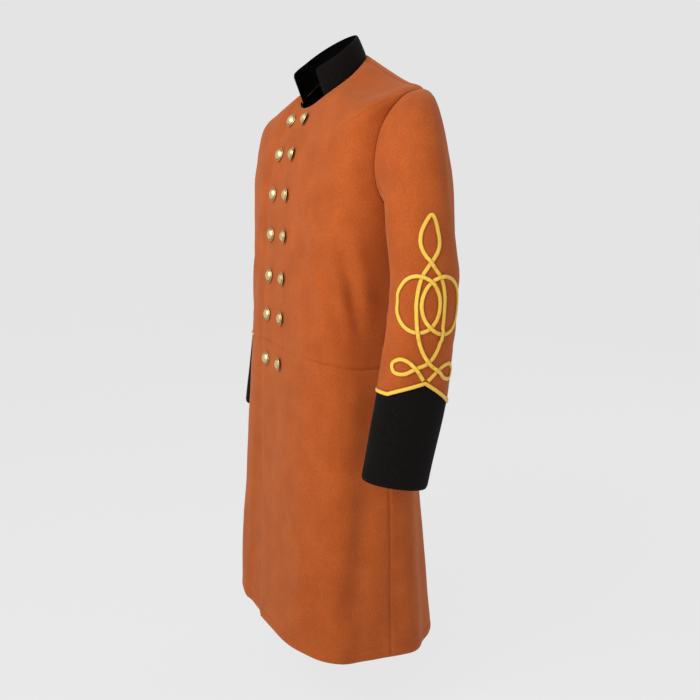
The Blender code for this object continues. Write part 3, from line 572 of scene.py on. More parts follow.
# Near pure black: the lining's own black with painted shade of the coat's inside added.
lining_surface.inputs["Base Color"].default_value = colour("020202")
lining_surface.inputs["Roughness"].default_value = 0.7
lining_surface.inputs["Specular IOR Level"].default_value = 0.03


def lap_sink(x, full):
    """How far the right side sinks where the left side lies on it. The x is the wearer's left."""
    return full * ease(-LAP_REACH - LAP_RAMP, -LAP_REACH - 0.004, x)


def waist_z(turn):
    return np.interp(body_points(turn, row_of_height(WAIST_Z[2]))[..., 0], WAIST_X, WAIST_Z)


def body_grid(turn, row, side, sink):
    """A body panel's outer points and normals from its turns and rows, mirrored on the right."""
    base, normals = body_points(turn, row), body_normals(turn, row)
    mirror = np.array([side, 1.0, 1.0])
    moved = relief(base * mirror, BODY_LINES) + sink(turn, base)
    return (base - normals * moved[..., None]) * mirror, normals * mirror


def lap_turn(column, row, reach, end):
    """Turns over the lap, for columns from -1 to 0, and on to the side seam, for columns from 0 to 1."""
    edge = turn_of_x(-reach(row), row)
    return np.where(column < 0, -edge * (2 * column + 1), -edge + (end(row) + edge) * column)


def low_grid(turn_at, columns, top, bottom, shares):
    """The turns and rows of a panel below the armhole, at shares of the way down from top to bottom."""
    column, share = np.meshgrid(columns, shares)
    row = np.full(column.shape, float(UNDERARM_ROW))
    for _ in range(5):
        turn = turn_at(column, row)
        high = top(turn)
        row = row_of_height(high + (bottom(turn) - high) * share)
    return turn_at(column, row), row


NECK_ROWS = (0.0, 0.006, 0.018, 0.036, 0.075, 0.13)
SHOULDER_ROWS = np.concatenate([NECK_ROWS, np.linspace(0.2, ARMHOLE_TOP_ROW, 24)[:-1]])
ARMHOLE_HEIGHTS = np.cos(np.linspace(0, math.pi, 34))[1:-1]
ARMHOLE_HEIGHTS = ARMHOLE_BOTTOM_Z + (ARMHOLE_TOP_Z - ARMHOLE_BOTTOM_Z) * (1 + ARMHOLE_HEIGHTS) / 2
ARMHOLE_ROWS = np.concatenate([[ARMHOLE_TOP_ROW], armhole_row(ARMHOLE_HEIGHTS), [ARMHOLE_BOTTOM_ROW]])
HIGH_ROWS = np.concatenate([SHOULDER_ROWS, ARMHOLE_ROWS])


def side_grid(turn_at, columns):
    """The turns and rows of a whole body panel, from the neck to the waist seam."""
    column, row = np.meshgrid(columns, HIGH_ROWS)
    high_turn = turn_at(column, row)
    shares = fine_steps(PANEL_LENGTH, STEP)[FROM_EDGE:]

    def waist(turn):
        return waist_z(turn) + SEAM_GAP / 2

    turn, low_row = low_grid(turn_at, columns, lambda t: ARMHOLE_BOTTOM_Z, waist, shares)
    return np.concatenate([high_turn, turn]), np.concatenate([row, low_row])


def armhole_dip(turn, row):
    """The share of a seam's dip that is left where the sleeve is set in."""
    below_top = ease(ARMHOLE_TOP_ROW - 0.5, ARMHOLE_TOP_ROW, row)
    above_bottom = 1 - ease(ARMHOLE_BOTTOM_ROW, ARMHOLE_BOTTOM_ROW + 0.4, row)
    return 1 - (1 - ARMHOLE_DIP) * below_top * above_bottom * (1 - ease(145, 165, turn))


def lap_reach(row):
    return NECK_LAP_REACH + (LAP_REACH - NECK_LAP_REACH) * ease(0, SHOULDER_ROW, row)


LAP_COLUMNS = fine_steps(2 * LAP_REACH, STEP)[:-FROM_EDGE] - 1
SIDE_COLUMNS = fine_steps(FRONT_WIDTH, STEP)[FROM_EDGE:]
FRONT_COLUMNS = np.concatenate([LAP_COLUMNS, SIDE_COLUMNS])


def front_seam(row):
    turn = seam_turn(row, False)
    return turn - gap_turn(turn, row, seam_gap(row) / 2)


SIDES = ((1, "left"), (-1, "right"))
for side, side_name in SIDES:
    turn, row = side_grid(lambda c, r: lap_turn(c, r, lap_reach, front_seam), FRONT_COLUMNS)
    under = LAP_SINK if side < 0 else 0.0
    outer, normals = body_grid(turn, row, side, lambda t, p: lap_sink(-p[..., 0], under))
    edges, dip = ("seam", "seam", "stitched", "seam"), armhole_dip(turn, row)
    name = "front_cloth_" + side_name
    piece = cloth(name, outer, normals, CLOTH, edges, (wool, lining), neck=True, full_dip=dip)
    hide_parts("front_" + side_name)

# The two back bodies: the same broadcloth and lining, cut with a curved armhole and a narrow shoulder.
# They are seamed at the centre back, to the fronts at the shoulders and the sides, and to the waist seam.
BACK_WIDTH = 0.21
BACK_COLUMNS = fine_steps(BACK_WIDTH, STEP)


def back_seam(row):
    turn = seam_turn(row, True)
    return turn + gap_turn(turn, row, seam_gap(row) / 2)


def back_turn(column, row, start):
    centre = 180 - gap_turn(178.0, row, SEAM_GAP / 2)
    return start(row) + (centre - start(row)) * column


for side, side_name in SIDES:
    turn, row = side_grid(lambda c, r: back_turn(c, r, back_seam), BACK_COLUMNS)
    outer, normals = body_grid(turn, row, side, lambda t, p: 0.0)
    name, edges, dip = "back_cloth_" + side_name, ("seam",) * 4, armhole_dip(turn, row)
    piece = cloth(name, outer, normals, CLOTH, edges, (wool, lining), neck=True, full_dip=dip)
    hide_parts("back_" + side_name)

# The four skirts: broadcloth hung from the waist seam, with long soft folds and a hem stitched 20 mm up.
# The front ones lap over each other less towards the hem, where their lower corners are rounded off.
HEM_STITCH = 0.020
HEM_STITCH_DIP = 0.0009
HEM_STITCH_WIDTH = 0.0018
CORNER = 0.016
SKIRT_LENGTH = 0.53
SKIRT_WIDTH = 0.25

# Columns: turn, spread, depth at the waist, depth at the hem (below 0 a ridge).
SKIRT_FOLDS = (
    (38.0, 11.0, 0.000, 0.0025),
    (84.0, 8.0, 0.001, 0.0060),
    (108.0, 9.0, 0.000, -0.0050),
    (128.0, 9.0, 0.001, 0.0060),
    (150.0, 10.0, 0.000, -0.0050),
)


def skirt_share(z):
    return np.clip((z - WAIST_Z[0]) / (HEM_FRONT_Z - WAIST_Z[0]), 0.0, 1.0)


def hem_z(turn):
    back = (1 - np.cos(np.radians(np.abs(turn)))) / 2
    front_half = HEM_FRONT_Z + (HEM_SIDE_Z - HEM_FRONT_Z) * ease(0, 0.5, back)
    return np.where(back < 0.5, front_half, HEM_SIDE_Z + (HEM_BACK_Z - HEM_SIDE_Z) * ease(0.5, 1, back))


def skirt_sink(turn, points):
    """The skirt's long folds and the groove that its hem's stitches pull into it."""
    down = skirt_share(points[..., 2])
    total = -0.0003 * np.exp(-((points[..., 2] - hem_z(turn) - 0.010) / 0.007) ** 2)
    from_stitches = (points[..., 2] - hem_z(turn) - HEM_STITCH) / HEM_STITCH_WIDTH
    total = total + HEM_STITCH_DIP * np.exp(-(from_stitches**2))
    for middle, spread, waist_depth, hem_depth in SKIRT_FOLDS:
        depth = (waist_depth + (hem_depth - waist_depth) * down) * np.minimum(1.0, 6 * down)
        total = total + depth * np.exp(-(((np.abs(turn) - middle) / spread) ** 2))
    return total


def skirt_reach(row):
    z = smooth_rows(RINGS, row)[..., 7]
    low = np.clip(CORNER - (z - HEM_FRONT_Z), 0, CORNER)
    return LAP_REACH + (SKIRT_LAP_REACH - LAP_REACH) * skirt_share(z) - (CORNER - np.sqrt(CORNER**2 - low**2))


def skirt_front_seam(row):
    return SIDE_SEAM - gap_turn(SIDE_SEAM, row, SEAM_GAP / 2)


def skirt_back_seam(row):
    return SIDE_SEAM + gap_turn(SIDE_SEAM, row, SEAM_GAP / 2)


stitch_places = SKIRT_LENGTH - HEM_STITCH + np.array([-0.0032, -0.0016, 0.0, 0.0016, 0.0032])
SKIRT_SHARES = fine_steps(SKIRT_LENGTH, STEP, stitch_places)
SKIRT_COLUMNS = np.concatenate([LAP_COLUMNS, fine_steps(SKIRT_WIDTH, STEP)[FROM_EDGE:]])
SKIRTS = (
    ("skirt_front", lambda c, r: lap_turn(c, r, skirt_reach, skirt_front_seam), SKIRT_COLUMNS),
    ("skirt_back", lambda c, r: back_turn(c, r, skirt_back_seam), BACK_COLUMNS),
)
for side, side_name in SIDES:
    for name, turn_at, columns in SKIRTS:
        turn, row = low_grid(turn_at, columns, lambda t: waist_z(t) - SEAM_GAP / 2, hem_z, SKIRT_SHARES)
        lapped = side < 0 and name == "skirt_front"

        def sink(t, p):
            under = LAP_SINK + (SKIRT_LAP_SINK - LAP_SINK) * skirt_share(p[..., 2])
            return skirt_sink(t, p) + (lap_sink(-p[..., 0], under) if lapped else 0.0)

        outer, normals = body_grid(turn, row, side, sink)
        edges = ("seam", "free", "stitched" if name == "skirt_front" else "seam", "seam")
        piece = cloth(f"{name}_cloth_{side_name}", outer, normals, CLOTH, edges, (wool, lining))
        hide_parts(f"{name}_{side_name}")
        size, area = ((0.361, 0.546), 0.1875) if name == "skirt_front" else ((0.311, 0.558), 0.1536)

# The sleeves: a top sleeve and an under sleeve of the same broadcloth, set into the armhole with a full cap.
# They hang almost straight, with small creases inside the elbow.
MELD_GAP = -0.0003
CAP_OUT = 0.50
CAP_DOWN = 0.50
FRONT_SEAM = 126.0
BACK_SEAM = -84.0
POINT_TURN = 7.0
CUFF_SIDE_HEIGHT = 0.148
CUFF_POINT_RISE = 0.0275
CUFF_POINT_SPREAD = 60.0
CAP_LENGTH = 0.20
ARM_LENGTH = 0.27

# Columns: z, middle_x, middle_y, half_x, half_y, tilt.
ARMS = (
    (-0.245, 0.2880, 0.0280, 0.052, 0.0550, 0.00),
    (-0.319, 0.3020, 0.0300, 0.051, 0.0550, 0.04),
    (-0.400, 0.3050, 0.0230, 0.049, 0.0560, 0.10),
    (-0.470, 0.3030, 0.0150, 0.048, 0.0580, 0.16),
    (-0.520, 0.3000, 0.0090, 0.047, 0.0580, 0.20),
    (-0.590, 0.2950, -0.0030, 0.046, 0.0570, 0.20),
    (-0.656, 0.2900, -0.0145, 0.046, 0.0560, 0.20),
)

# Columns as for the body's creases. The turn is 0 on the outer side and 90 in front.
SLEEVE_CREASES = (
    (62, -0.120, 48, -0.240, 0.006, 0.012, 0.0026),
    (30, -0.110, 34, -0.200, 0.004, 0.012, 0.0014),
    (-30, -0.120, -44, -0.260, 0.006, 0.014, 0.0026),
    (112, -0.325, 62, -0.372, 0.004, 0.008, 0.0030),
    (116, -0.365, 70, -0.395, 0.003, 0.007, 0.0022),
    (112, -0.420, 66, -0.438, 0.003, 0.008, 0.0024),
    (-100, -0.300, -52, -0.350, 0.004, 0.010, 0.0022),
    (-96, -0.400, -56, -0.430, 0.004, 0.010, 0.0018),
    (150, -0.340, 200, -0.380, 0.004, 0.010, 0.0022),
    (150, -0.420, 196, -0.400, 0.004, 0.010, 0.0018),
    (96, -0.250, 84, -0.330, 0.003, 0.011, 0.0016),
)


def armhole_points(turn):
    """Points of the armhole's edge. The turn is 0 at the top, 90 in front, 180 at the bottom, -90 behind."""
    found = []
    for back in (False, True):
        edge = body_points(seam_turn(ARMHOLE_ROWS, back), ARMHOLE_ROWS)
        share = np.concatenate([[0], np.cumsum(lengths(np.diff(edge, axis=0)))])
        share = np.minimum(np.abs(turn) / 180, 1.0) * share[-1], share
        found.append(np.stack([np.interp(*share, edge[:, k]) for k in range(3)], -1))
    return np.where((turn >= 0)[..., None], found[0], found[1])


def arm_points(turn, z):
    """Points of the sleeve's outer surface below its cap."""
    row = np.interp(-z, [-arm[0] for arm in ARMS], range(len(ARMS)))
    _, middle_x, middle_y, half_x, half_y, tilt = np.moveaxis(smooth_rows(ARMS, row), -1, 0)
    y = -half_y * np.sin(np.radians(turn))
    return np.stack([middle_x + half_x * np.cos(np.radians(turn)), middle_y + y, z - tilt * y], -1)


def cap_points(turn, share):
    """Points of the sleeve's cap, on curves that leave the armhole sideways and turn down into the arm."""
    start = armhole_points(turn) + np.array([MELD_GAP, 0, 0])
    end = arm_points(turn, np.full(turn.shape, ARMS[0][0]))
    reach = lengths(end - start)[..., None]
    first = start + np.array([1.0, 0, 0.12]) * reach * CAP_OUT / 2
    second = end + np.array([0, 0, 1.0]) * reach * CAP_DOWN
    share = share[..., None]
    keep = 1 - share
    return keep**3 * start + 3 * keep**2 * share * first + 3 * keep * share**2 * second + share**3 * end


def cuff_height(turn):
    peak = np.maximum(0.0, 1 - np.abs(turn - POINT_TURN) / CUFF_POINT_SPREAD)
    return CUFF_SIDE_HEIGHT + CUFF_POINT_RISE * peak


def sleeve_points(turn, share):
    """Points of the sleeve's outer surface. Share 0 is the armhole, 1 the arm's top and 2 the cuff's edge."""
    turn, share = np.broadcast_arrays(np.asarray(turn, float), np.asarray(share, float))
    turn = (turn + 180) % 360 - 180
    low = ARMS[-1][0] + cuff_height(turn)
    below = arm_points(turn, ARMS[0][0] + (low - ARMS[0][0]) * np.maximum(share - 1, 0))
    return np.where((share <= 1)[..., None], cap_points(turn, np.minimum(share, 1)), below)


def tube_normals(surface, turn, share, high):
    around = surface(turn + 2, share) - surface(turn - 2, share)
    down = surface(turn, np.minimum(share + 0.02, high)) - surface(turn, np.maximum(share - 0.02, 0))
    normals = np.cross(around, down)
    if surface is sleeve_points:
        normals[..., 0] = np.where(share <= 1e-4, 0.0, normals[..., 0])
    return unit(normals)


def sleeve_places(turn, z):
    """Points of the sleeve's surface at these turns and heights."""
    turn, z = np.asarray(turn, float), np.asarray(z, float)
    first, last = np.full(z.shape, 0.3), np.full(z.shape, 1.0)
    share = bisect(first, last, lambda s: cap_points((turn + 180) % 360 - 180, s)[..., 2] - z)
    low = ARMS[-1][0] + cuff_height(turn)
    return sleeve_points(turn, np.where(z > ARMS[0][0], share, 1 + (z - ARMS[0][0]) / (low - ARMS[0][0])))


SLEEVE_LINES = {
    side: crease_lines(SLEEVE_CREASES, sleeve_places, side, 0 if side > 0 else 1) for side in (1, -1)
}


def sleeve_surface(turn, share, side):
    """The creased outer surface of a sleeve and its normals, on the left or mirrored to the right."""
    base, normals = sleeve_points(turn, share), tube_normals(sleeve_points, turn, share, 2.0)
    mirror = np.array([side, 1.0, 1.0])
    held = ease(0.0, 0.12, share)
    moved = relief(base * mirror, SLEEVE_LINES[side]) * held
    return (base - normals * moved[..., None]) * mirror, normals * mirror


CAP_SHARES = fine_steps(CAP_LENGTH, STEP)[: -FROM_EDGE - 1]
ARM_SHARES = np.concatenate([CAP_SHARES, 1 + fine_steps(ARM_LENGTH, STEP)[FROM_EDGE:]])
HALF_GAP = math.degrees(SEAM_GAP / 2 / ARMS[0][3])

# Columns: name, first turn, last turn, width.
SLEEVE_TURNS = (
    ("sleeve_upper", BACK_SEAM + HALF_GAP, FRONT_SEAM - HALF_GAP, 0.197),
    ("sleeve_under", FRONT_SEAM + HALF_GAP, BACK_SEAM + 360 - HALF_GAP, 0.140),
)
for side, side_name in SIDES:
    for name, first, last, width in SLEEVE_TURNS:
        turn, share = np.meshgrid(first + (last - first) * fine_steps(width, STEP), ARM_SHARES)
        outer, normals = sleeve_surface(turn, share, side)
        cloth_name, dip = f"{name}_cloth_{side_name}", ARMHOLE_DIP + (1 - ARMHOLE_DIP) * ease(0.0, 0.2, share)
        piece = cloth(cloth_name, outer, normals, CLOTH, ("seam",) * 4, (wool, lining), full_dip=dip)
        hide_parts(f"{name}_{side_name}")
        size, area = ((0.235, 0.562), 0.1031) if name == "sleeve_upper" else ((0.160, 0.522), 0.0520)

# The stand collar: black wool broadcloth over a stiffened lining, open in front, with rounded front corners.
# It is sewn round the neck edge, reaches 4 mm down inside it, and leans slightly forwards.
COLLAR_CLOTH = 0.003
COLLAR_BACK_RISE = 0.031
COLLAR_FRONT_RISE = 0.045
COLLAR_LEAN = 0.016
COLLAR_END_X = 0.0515
COLLAR_CORNER = 0.007
COLLAR_RISE = 0.045
COLLAR_LENGTH = 0.37
COLLAR_STEP = 0.004
COLLAR_SUNK = 0.12

black_wool = bpy.data.materials.new("black wool broadcloth")
black_wool.use_nodes = True
black_place = add_node(black_wool, "TexCoord").outputs["Object"]
black_fibres = {"Vector": black_place, "Scale": 560.0, "Detail": 3.0, "Roughness": 0.7}
black_nap = add_node(black_wool, "TexNoise", black_fibres)
black_tone = add_node(black_wool, "ValToRGB", {"Fac": black_nap.outputs["Fac"]})
black_tone.color_ramp.elements[0].position = 0.35
black_tone.color_ramp.elements[0].color = colour("0b0909")
black_tone.color_ramp.elements[1].position = 0.70
black_tone.color_ramp.elements[1].color = colour("1a1615")
black_chart = add_node(black_wool, "UVMap", uv_map="chart").outputs["UV"]
black_ribs = {"Vector": black_chart, "Scale": 185.0, "Distortion": 1.5}
black_twill = add_node(black_wool, "TexWave", black_ribs, bands_direction="DIAGONAL")
black_height = add_node(black_wool, "Math", {0: black_twill.outputs["Fac"], 1: 0.25}, operation="MULTIPLY")
black_heights = {0: black_nap.outputs["Fac"], 1: black_height.outputs[0]}
black_rough = add_node(black_wool, "Math", black_heights, operation="ADD")
black_relief = {"Height": black_rough.outputs[0], "Strength": 0.6, "Distance": 0.0006}
black_bump = add_node(black_wool, "Bump", black_relief)
black_surface = black_wool.node_tree.nodes["Principled BSDF"]
black_wool.node_tree.links.new(black_tone.outputs["Color"], black_surface.inputs["Base Color"])
black_wool.node_tree.links.new(black_bump.outputs["Normal"], black_surface.inputs["Normal"])
black_surface.inputs["Roughness"].default_value = 1.0
black_surface.inputs["Specular IOR Level"].default_value = 0.05
black_surface.inputs["Sheen Weight"].default_value = 0.02
black_surface.inputs["Sheen Roughness"].default_value = 0.5

collar_end = float(turn_of_x(COLLAR_END_X, 0))
collar_columns = fine_steps(COLLAR_LENGTH, COLLAR_STEP)
collar_rows = (1 + COLLAR_SUNK) * fine_steps(COLLAR_RISE, COLLAR_STEP) - COLLAR_SUNK
turn, share = np.meshgrid(collar_end + (360 - 2 * collar_end) * collar_columns, collar_rows)
front = (1 + np.cos(np.radians(turn))) / 2
rise = COLLAR_BACK_RISE + (COLLAR_FRONT_RISE - COLLAR_BACK_RISE) * front
lift = np.stack([np.zeros(turn.shape), np.full(turn.shape, -COLLAR_LEAN), rise], -1)
first = body_points(turn, np.zeros(turn.shape))
normals = unit(np.cross(body_points(turn + 1, 0 * turn) - body_points(turn - 1, 0 * turn), lift))
from_end = np.minimum(collar_columns, 1 - collar_columns) * COLLAR_LENGTH
into_corner = np.clip(COLLAR_CORNER - from_end, 0, COLLAR_CORNER * 0.98)
drop = COLLAR_CORNER - np.sqrt(COLLAR_CORNER**2 - into_corner**2)
scale = 1 - drop / lengths(lift)
outer = first + unit(lift) * SEAM_GAP * 2 + lift * (share * scale)[..., None]
outer = outer - normals * (0.0003 * np.sin(90 * outer[..., 0] + 60 * outer[..., 1]) * share)[..., None]
edges = ("free", "stitched", "stitched", "stitched")
collar = cloth("collar_cloth", outer, normals, COLLAR_CLOTH, edges, (black_wool, lining))
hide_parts("collar")

# The cuffs: black wool broadcloth turned back over the sleeve's end, cut to a point on the outer side.
# Each is seamed to the sleeve under its braid and hangs free at the wrist.
CUFF_LENGTH = 0.16
CUFF_STEPS = 64
CUFF_KINKS = [POINT_TURN - CUFF_POINT_SPREAD, POINT_TURN + CUFF_POINT_SPREAD]


def cuff_points(turn, share):
    """Points of the cuff's outer surface. Share 0 is its top edge and 1 the wrist."""
    turn, share = np.broadcast_arrays(np.asarray(turn, float), np.asarray(share, float))
    turn = (turn + 180) % 360 - 180
    top = ARMS[-1][0] + cuff_height(turn) - SEAM_GAP
    return arm_points(turn, top + (ARMS[-1][0] - top) * share)


CUFF_TURNS = np.concatenate([BACK_SEAM + 360 * np.arange(CUFF_STEPS) / CUFF_STEPS, [POINT_TURN], CUFF_KINKS])
for side, side_name in SIDES:
    turn, share = np.meshgrid(np.sort(CUFF_TURNS), fine_steps(CUFF_LENGTH, STEP))
    base, normals = cuff_points(turn, share), tube_normals(cuff_points, turn, share, 1.0)
    mirror = np.array([side, 1.0, 1.0])
    moved = relief(base * mirror, SLEEVE_LINES[side])
    outer, normals = (base - normals * moved[..., None]) * mirror, normals * mirror
    name, edges = "cuff_cloth_" + side_name, ("seam", "free")
    cuff = cloth(name, outer, normals, CLOTH, edges, (black_wool, lining), closed_round=True)
    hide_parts("cuff_" + side_name)

# The trim: flat worsted braid in yellow, 6.5 mm wide, sewn along each cuff's edge and in a knot above it.
# Its threads are woven to a chevron, brighter along the middle and darker at the sewn edges.
BRAID_WIDTH = 0.0065
BRAID_THICK = 0.0018
BRAID_LIFT = 0.0006
TRIM_STEPS = 150

braid = bpy.data.materials.new("yellow worsted braid")
braid.use_nodes = True
braid_chart = add_node(braid, "UVMap", uv_map="chart")
braid_parts = add_node(braid, "SeparateXYZ", {"Vector": braid_chart.outputs["UV"]})
braid_across = add_node(braid, "Math", {0: braid_parts.outputs["Y"]}, operation="ABSOLUTE").outputs[0]
braid_slant = add_node(braid, "Math", {0: braid_across, 1: braid_parts.outputs["X"]}, operation="ADD")
# The chevrons are 2.2 mm apart, a little coarser than the real 1.5 mm.
CHEVRON = 0.0022
braid_turn = {0: braid_slant.outputs[0], 1: 2 * math.pi / CHEVRON}
braid_turns = add_node(braid, "Math", braid_turn, operation="MULTIPLY")
braid_wave = add_node(braid, "Math", {0: braid_turns.outputs[0]}, operation="SINE").outputs[0]
braid_rib = add_node(braid, "MapRange", {"Value": braid_wave, "From Min": -1.0, "From Max": 1.0}).outputs[0]
braid_threads = {"Fac": braid_rib, "Color1": colour("dca42c"), "Color2": colour("ffd650")}
braid_thread = add_node(braid, "MixRGB", braid_threads).outputs[0]
braid_edge = add_node(braid, "MapRange", {"Value": braid_across, "From Min": 0.0020, "From Max": 0.0033})
braid_tones = {"Fac": braid_edge.outputs[0], "Color1": braid_thread, "Color2": colour("b5851c")}
braid_colour = add_node(braid, "MixRGB", braid_tones)
braid_bump = add_node(braid, "Bump", {"Height": braid_rib, "Strength": 0.7, "Distance": 0.0003})
braid_surface = braid.node_tree.nodes["Principled BSDF"]
braid.node_tree.links.new(braid_colour.outputs[0], braid_surface.inputs["Base Color"])
braid.node_tree.links.new(braid_bump.outputs["Normal"], braid_surface.inputs["Normal"])
braid_surface.inputs["Roughness"].default_value = 0.55
braid_surface.inputs["Specular IOR Level"].default_value = 0.35
braid_surface.inputs["Sheen Weight"].default_value = 0.15

# Columns: share of the half width, share of the thickness. They run round the braid's section.
BRAID_SECTION = (
    (-0.97, 0.0),
    (-1.0, 0.4),
    (-0.90, 0.8),
    (-0.55, 0.98),
    (0.0, 1.0),
    (0.55, 0.98),
    (0.90, 0.8),
    (1.0, 0.4),
    (0.97, 0.0),
)


def braid_band(name, points, normals, lifts, closed_round):
    """A flat braid along points of the cloth, lifted where it lies over another."""
    after, before = np.roll(points, -1, axis=0), np.roll(points, 1, axis=0)
    if not closed_round:
        after[-1], before[0] = points[-1], points[0]
    across = unit(np.cross(normals, after - before)) * BRAID_WIDTH / 2
    section = np.array(BRAID_SECTION)
    base = (points + normals * (BRAID_LIFT + lifts)[:, None])[:, None]
    sideways, upwards = across[:, None] * section[None, :, :1], normals[:, None] * section[None, :, 1:]
    corners = base + sideways + upwards * BRAID_THICK
    along = np.concatenate([[0], np.cumsum(lengths(np.diff(points, axis=0)))])
    count, wide = len(points), len(section)
    mesh = bmesh.new()
    chart = mesh.loops.layers.uv.new("chart")
    rows = [[mesh.verts.new(corner) for corner in row] for row in corners]
    for k in range(count if closed_round else count - 1):
        n = (k + 1) % count
        reach = along[k], (along[n] if n else along[k] + along[1])
        for c in range(wide):
            d = (c + 1) % wide
            face = mesh.faces.new((rows[k][c], rows[n][c], rows[n][d], rows[k][d]))
            places = ((reach[0], c), (reach[1], c), (reach[1], d), (reach[0], d))
            for loop, (place, column) in zip(face.loops, places):
                loop[chart].uv = (place, section[column][0] * BRAID_WIDTH / 2)
    if not closed_round:
        mesh.faces.new(rows[0])
        mesh.faces.new(rows[-1][::-1])
    bmesh.ops.recalc_face_normals(mesh, faces=mesh.faces)
    made = bpy.data.meshes.new(name)
    mesh.to_mesh(made)
    mesh.free()
    made.materials.append(braid)
    made.shade_smooth()
    made.set_sharp_from_angle(angle=math.radians(70))
    piece = bpy.data.objects.new(name, made)
    bpy.context.scene.collection.objects.link(piece)
    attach(piece, "root")
    return piece


for side, side_name in SIDES:
    turn = np.sort(np.concatenate([BACK_SEAM + 360 * np.arange(TRIM_STEPS) / TRIM_STEPS, CUFF_KINKS]))
    points, normals = sleeve_surface(turn, np.full(turn.shape, 2.0), side)
    piece = braid_band("cuff_trim_" + side_name, points, normals, np.zeros(turn.shape), True)
    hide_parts("cuff_braid_" + side_name)

# The knots: one long strand of the same braid that curls above the cuff's point and climbs to a leaf, and
# two rings that cross it. Each crossing goes over and under in turn, as the braid is laid.
CROSSING_LIFT = 0.0023
CROSSING_FLAT = 0.006
CROSSING_END = 0.012
KNOT_RADIUS = 0.053
KNOT_STEP = 0.0014
RING_ACROSS = 0.0205
RING_UP = 0.122
RING_HALF_WIDTH = 0.0345
RING_HALF_HEIGHT = 0.044
KNOT_SUBSTEPS = 12
RING_STEPS = 240

# Columns: across, up, lies over on the way up, lies over on the way down.
STRAND = (
    (0.0036, 0.0042, 0, 0),
    (0.0170, 0.0210, 1, 0),
    (0.0300, 0.0305, 0, 0),
    (0.0430, 0.0325, 0, 0),
    (0.0545, 0.0235, 0, 0),
    (0.0490, 0.0105, 0, 0),
    (0.0330, 0.0100, 0, 0),
    (0.0170, 0.0210, 0, 1),
    (0.0000, 0.0325, 0, 1),
    (-0.0125, 0.0530, 0, 0),
    (-0.0187, 0.0761, 1, 1),
    (-0.0212, 0.1050, 0, 0),
    (-0.0212, 0.1350, 0, 0),
    (-0.0150, 0.1634, 0, 0),
    (0.0000, 0.1865, 1, 0),
    (0.0114, 0.2045, 0, 0),
    (0.0146, 0.2215, 0, 0),
    (0.0095, 0.2440, 0, 0),
    (0.0000, 0.2595, 0, 0),
)
KNOT_BOW = ((0.0, 0.0), (0.04, 0.0), (0.12, 0.0072), (0.18, 0.0088), (0.22, 0.0055), (0.26, 0.0020))


def knot_piece(name, node, path, overs, side, closed_round):
    """A braid laid on the sleeve along a path of points across and up from the cuff's peak."""
    places = np.concatenate([[0], np.cumsum(lengths(np.diff(path, axis=0)))])
    wanted = np.linspace(0, places[-1], int(places[-1] / KNOT_STEP) + 1)
    if closed_round:
        wanted = wanted[:-1]
    across, up = (np.interp(wanted, places, path[:, k]) for k in range(2))
    away = np.abs(wanted[:, None] - places[overs][None])
    if closed_round:
        away = np.minimum(away, places[-1] - away)
    lifts = CROSSING_LIFT * (1 - ease(CROSSING_FLAT, CROSSING_END, away.min(axis=1)))
    turn = POINT_TURN + np.degrees((across + np.interp(up, *np.transpose(KNOT_BOW))) / KNOT_RADIUS)
    z = ARMS[-1][0] + cuff_height(POINT_TURN) + up
    above = bisect(np.full(z.shape, 0.5), np.full(z.shape, 1.0), lambda s: cap_points(turn, s)[..., 2] - z)
    low = ARMS[-1][0] + cuff_height(turn)
    share = np.where(z > ARMS[0][0], above, 1 + (z - ARMS[0][0]) / (low - ARMS[0][0]))
    points, normals = sleeve_surface(turn, share, side)
    piece = braid_band(name, points, normals, lifts, closed_round)
    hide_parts(node)


knots = [knot[:3] for knot in STRAND] + [(-knot[0], knot[1], knot[3]) for knot in reversed(STRAND[:-1])]
strand_steps = np.arange(KNOT_SUBSTEPS * (len(knots) - 1) + 1) / KNOT_SUBSTEPS
strand_path = smooth_rows([knot[:2] for knot in knots], strand_steps)
strand_overs = [KNOT_SUBSTEPS * k for k, knot in enumerate(knots) if knot[2]]
ring_turns = np.linspace(0, 2 * math.pi, RING_STEPS + 1)
for side, side_name in SIDES:
    strand_name = "knot_strand_trim_" + side_name
    knot_piece(strand_name, "knot_strand_" + side_name, strand_path, strand_overs, side, False)
    for place, ring_name in ((1, "knot_ring_front_"), (-1, "knot_ring_back_")):
        across = place * RING_ACROSS + RING_HALF_WIDTH * np.sin(ring_turns)
        ring_path = np.stack([across, RING_UP + RING_HALF_HEIGHT * np.cos(ring_turns)], 1)
        inner = (0.0, RING_UP + place * RING_HALF_HEIGHT * 0.8)
        crossings = ((place * 0.0150, RING_UP + RING_HALF_HEIGHT), inner)
        overs = [int(np.argmin(lengths(ring_path - over))) for over in crossings]
        knot_piece(f"{ring_name}trim_{side_name}", ring_name + side_name, ring_path, overs, side, True)

# The buttons: fourteen domed brass buttons with a plain rim, stamped from sheet and sewn on by a shank.
# They are worn bright on the dome and darker in the groove inside the rim, and each hangs a little askew.
BUTTON_ROW_X = 0.032
BUTTON_HEIGHTS = (-0.066, -0.126, -0.196, -0.268, -0.343, -0.414, -0.497)
BUTTON_SLACK = 0.0010
BUTTON_LEANS = (0.20, 0.16, 0.13, 0.15, 0.14, 0.10, 0.16)
BUTTON_SIDES = 40

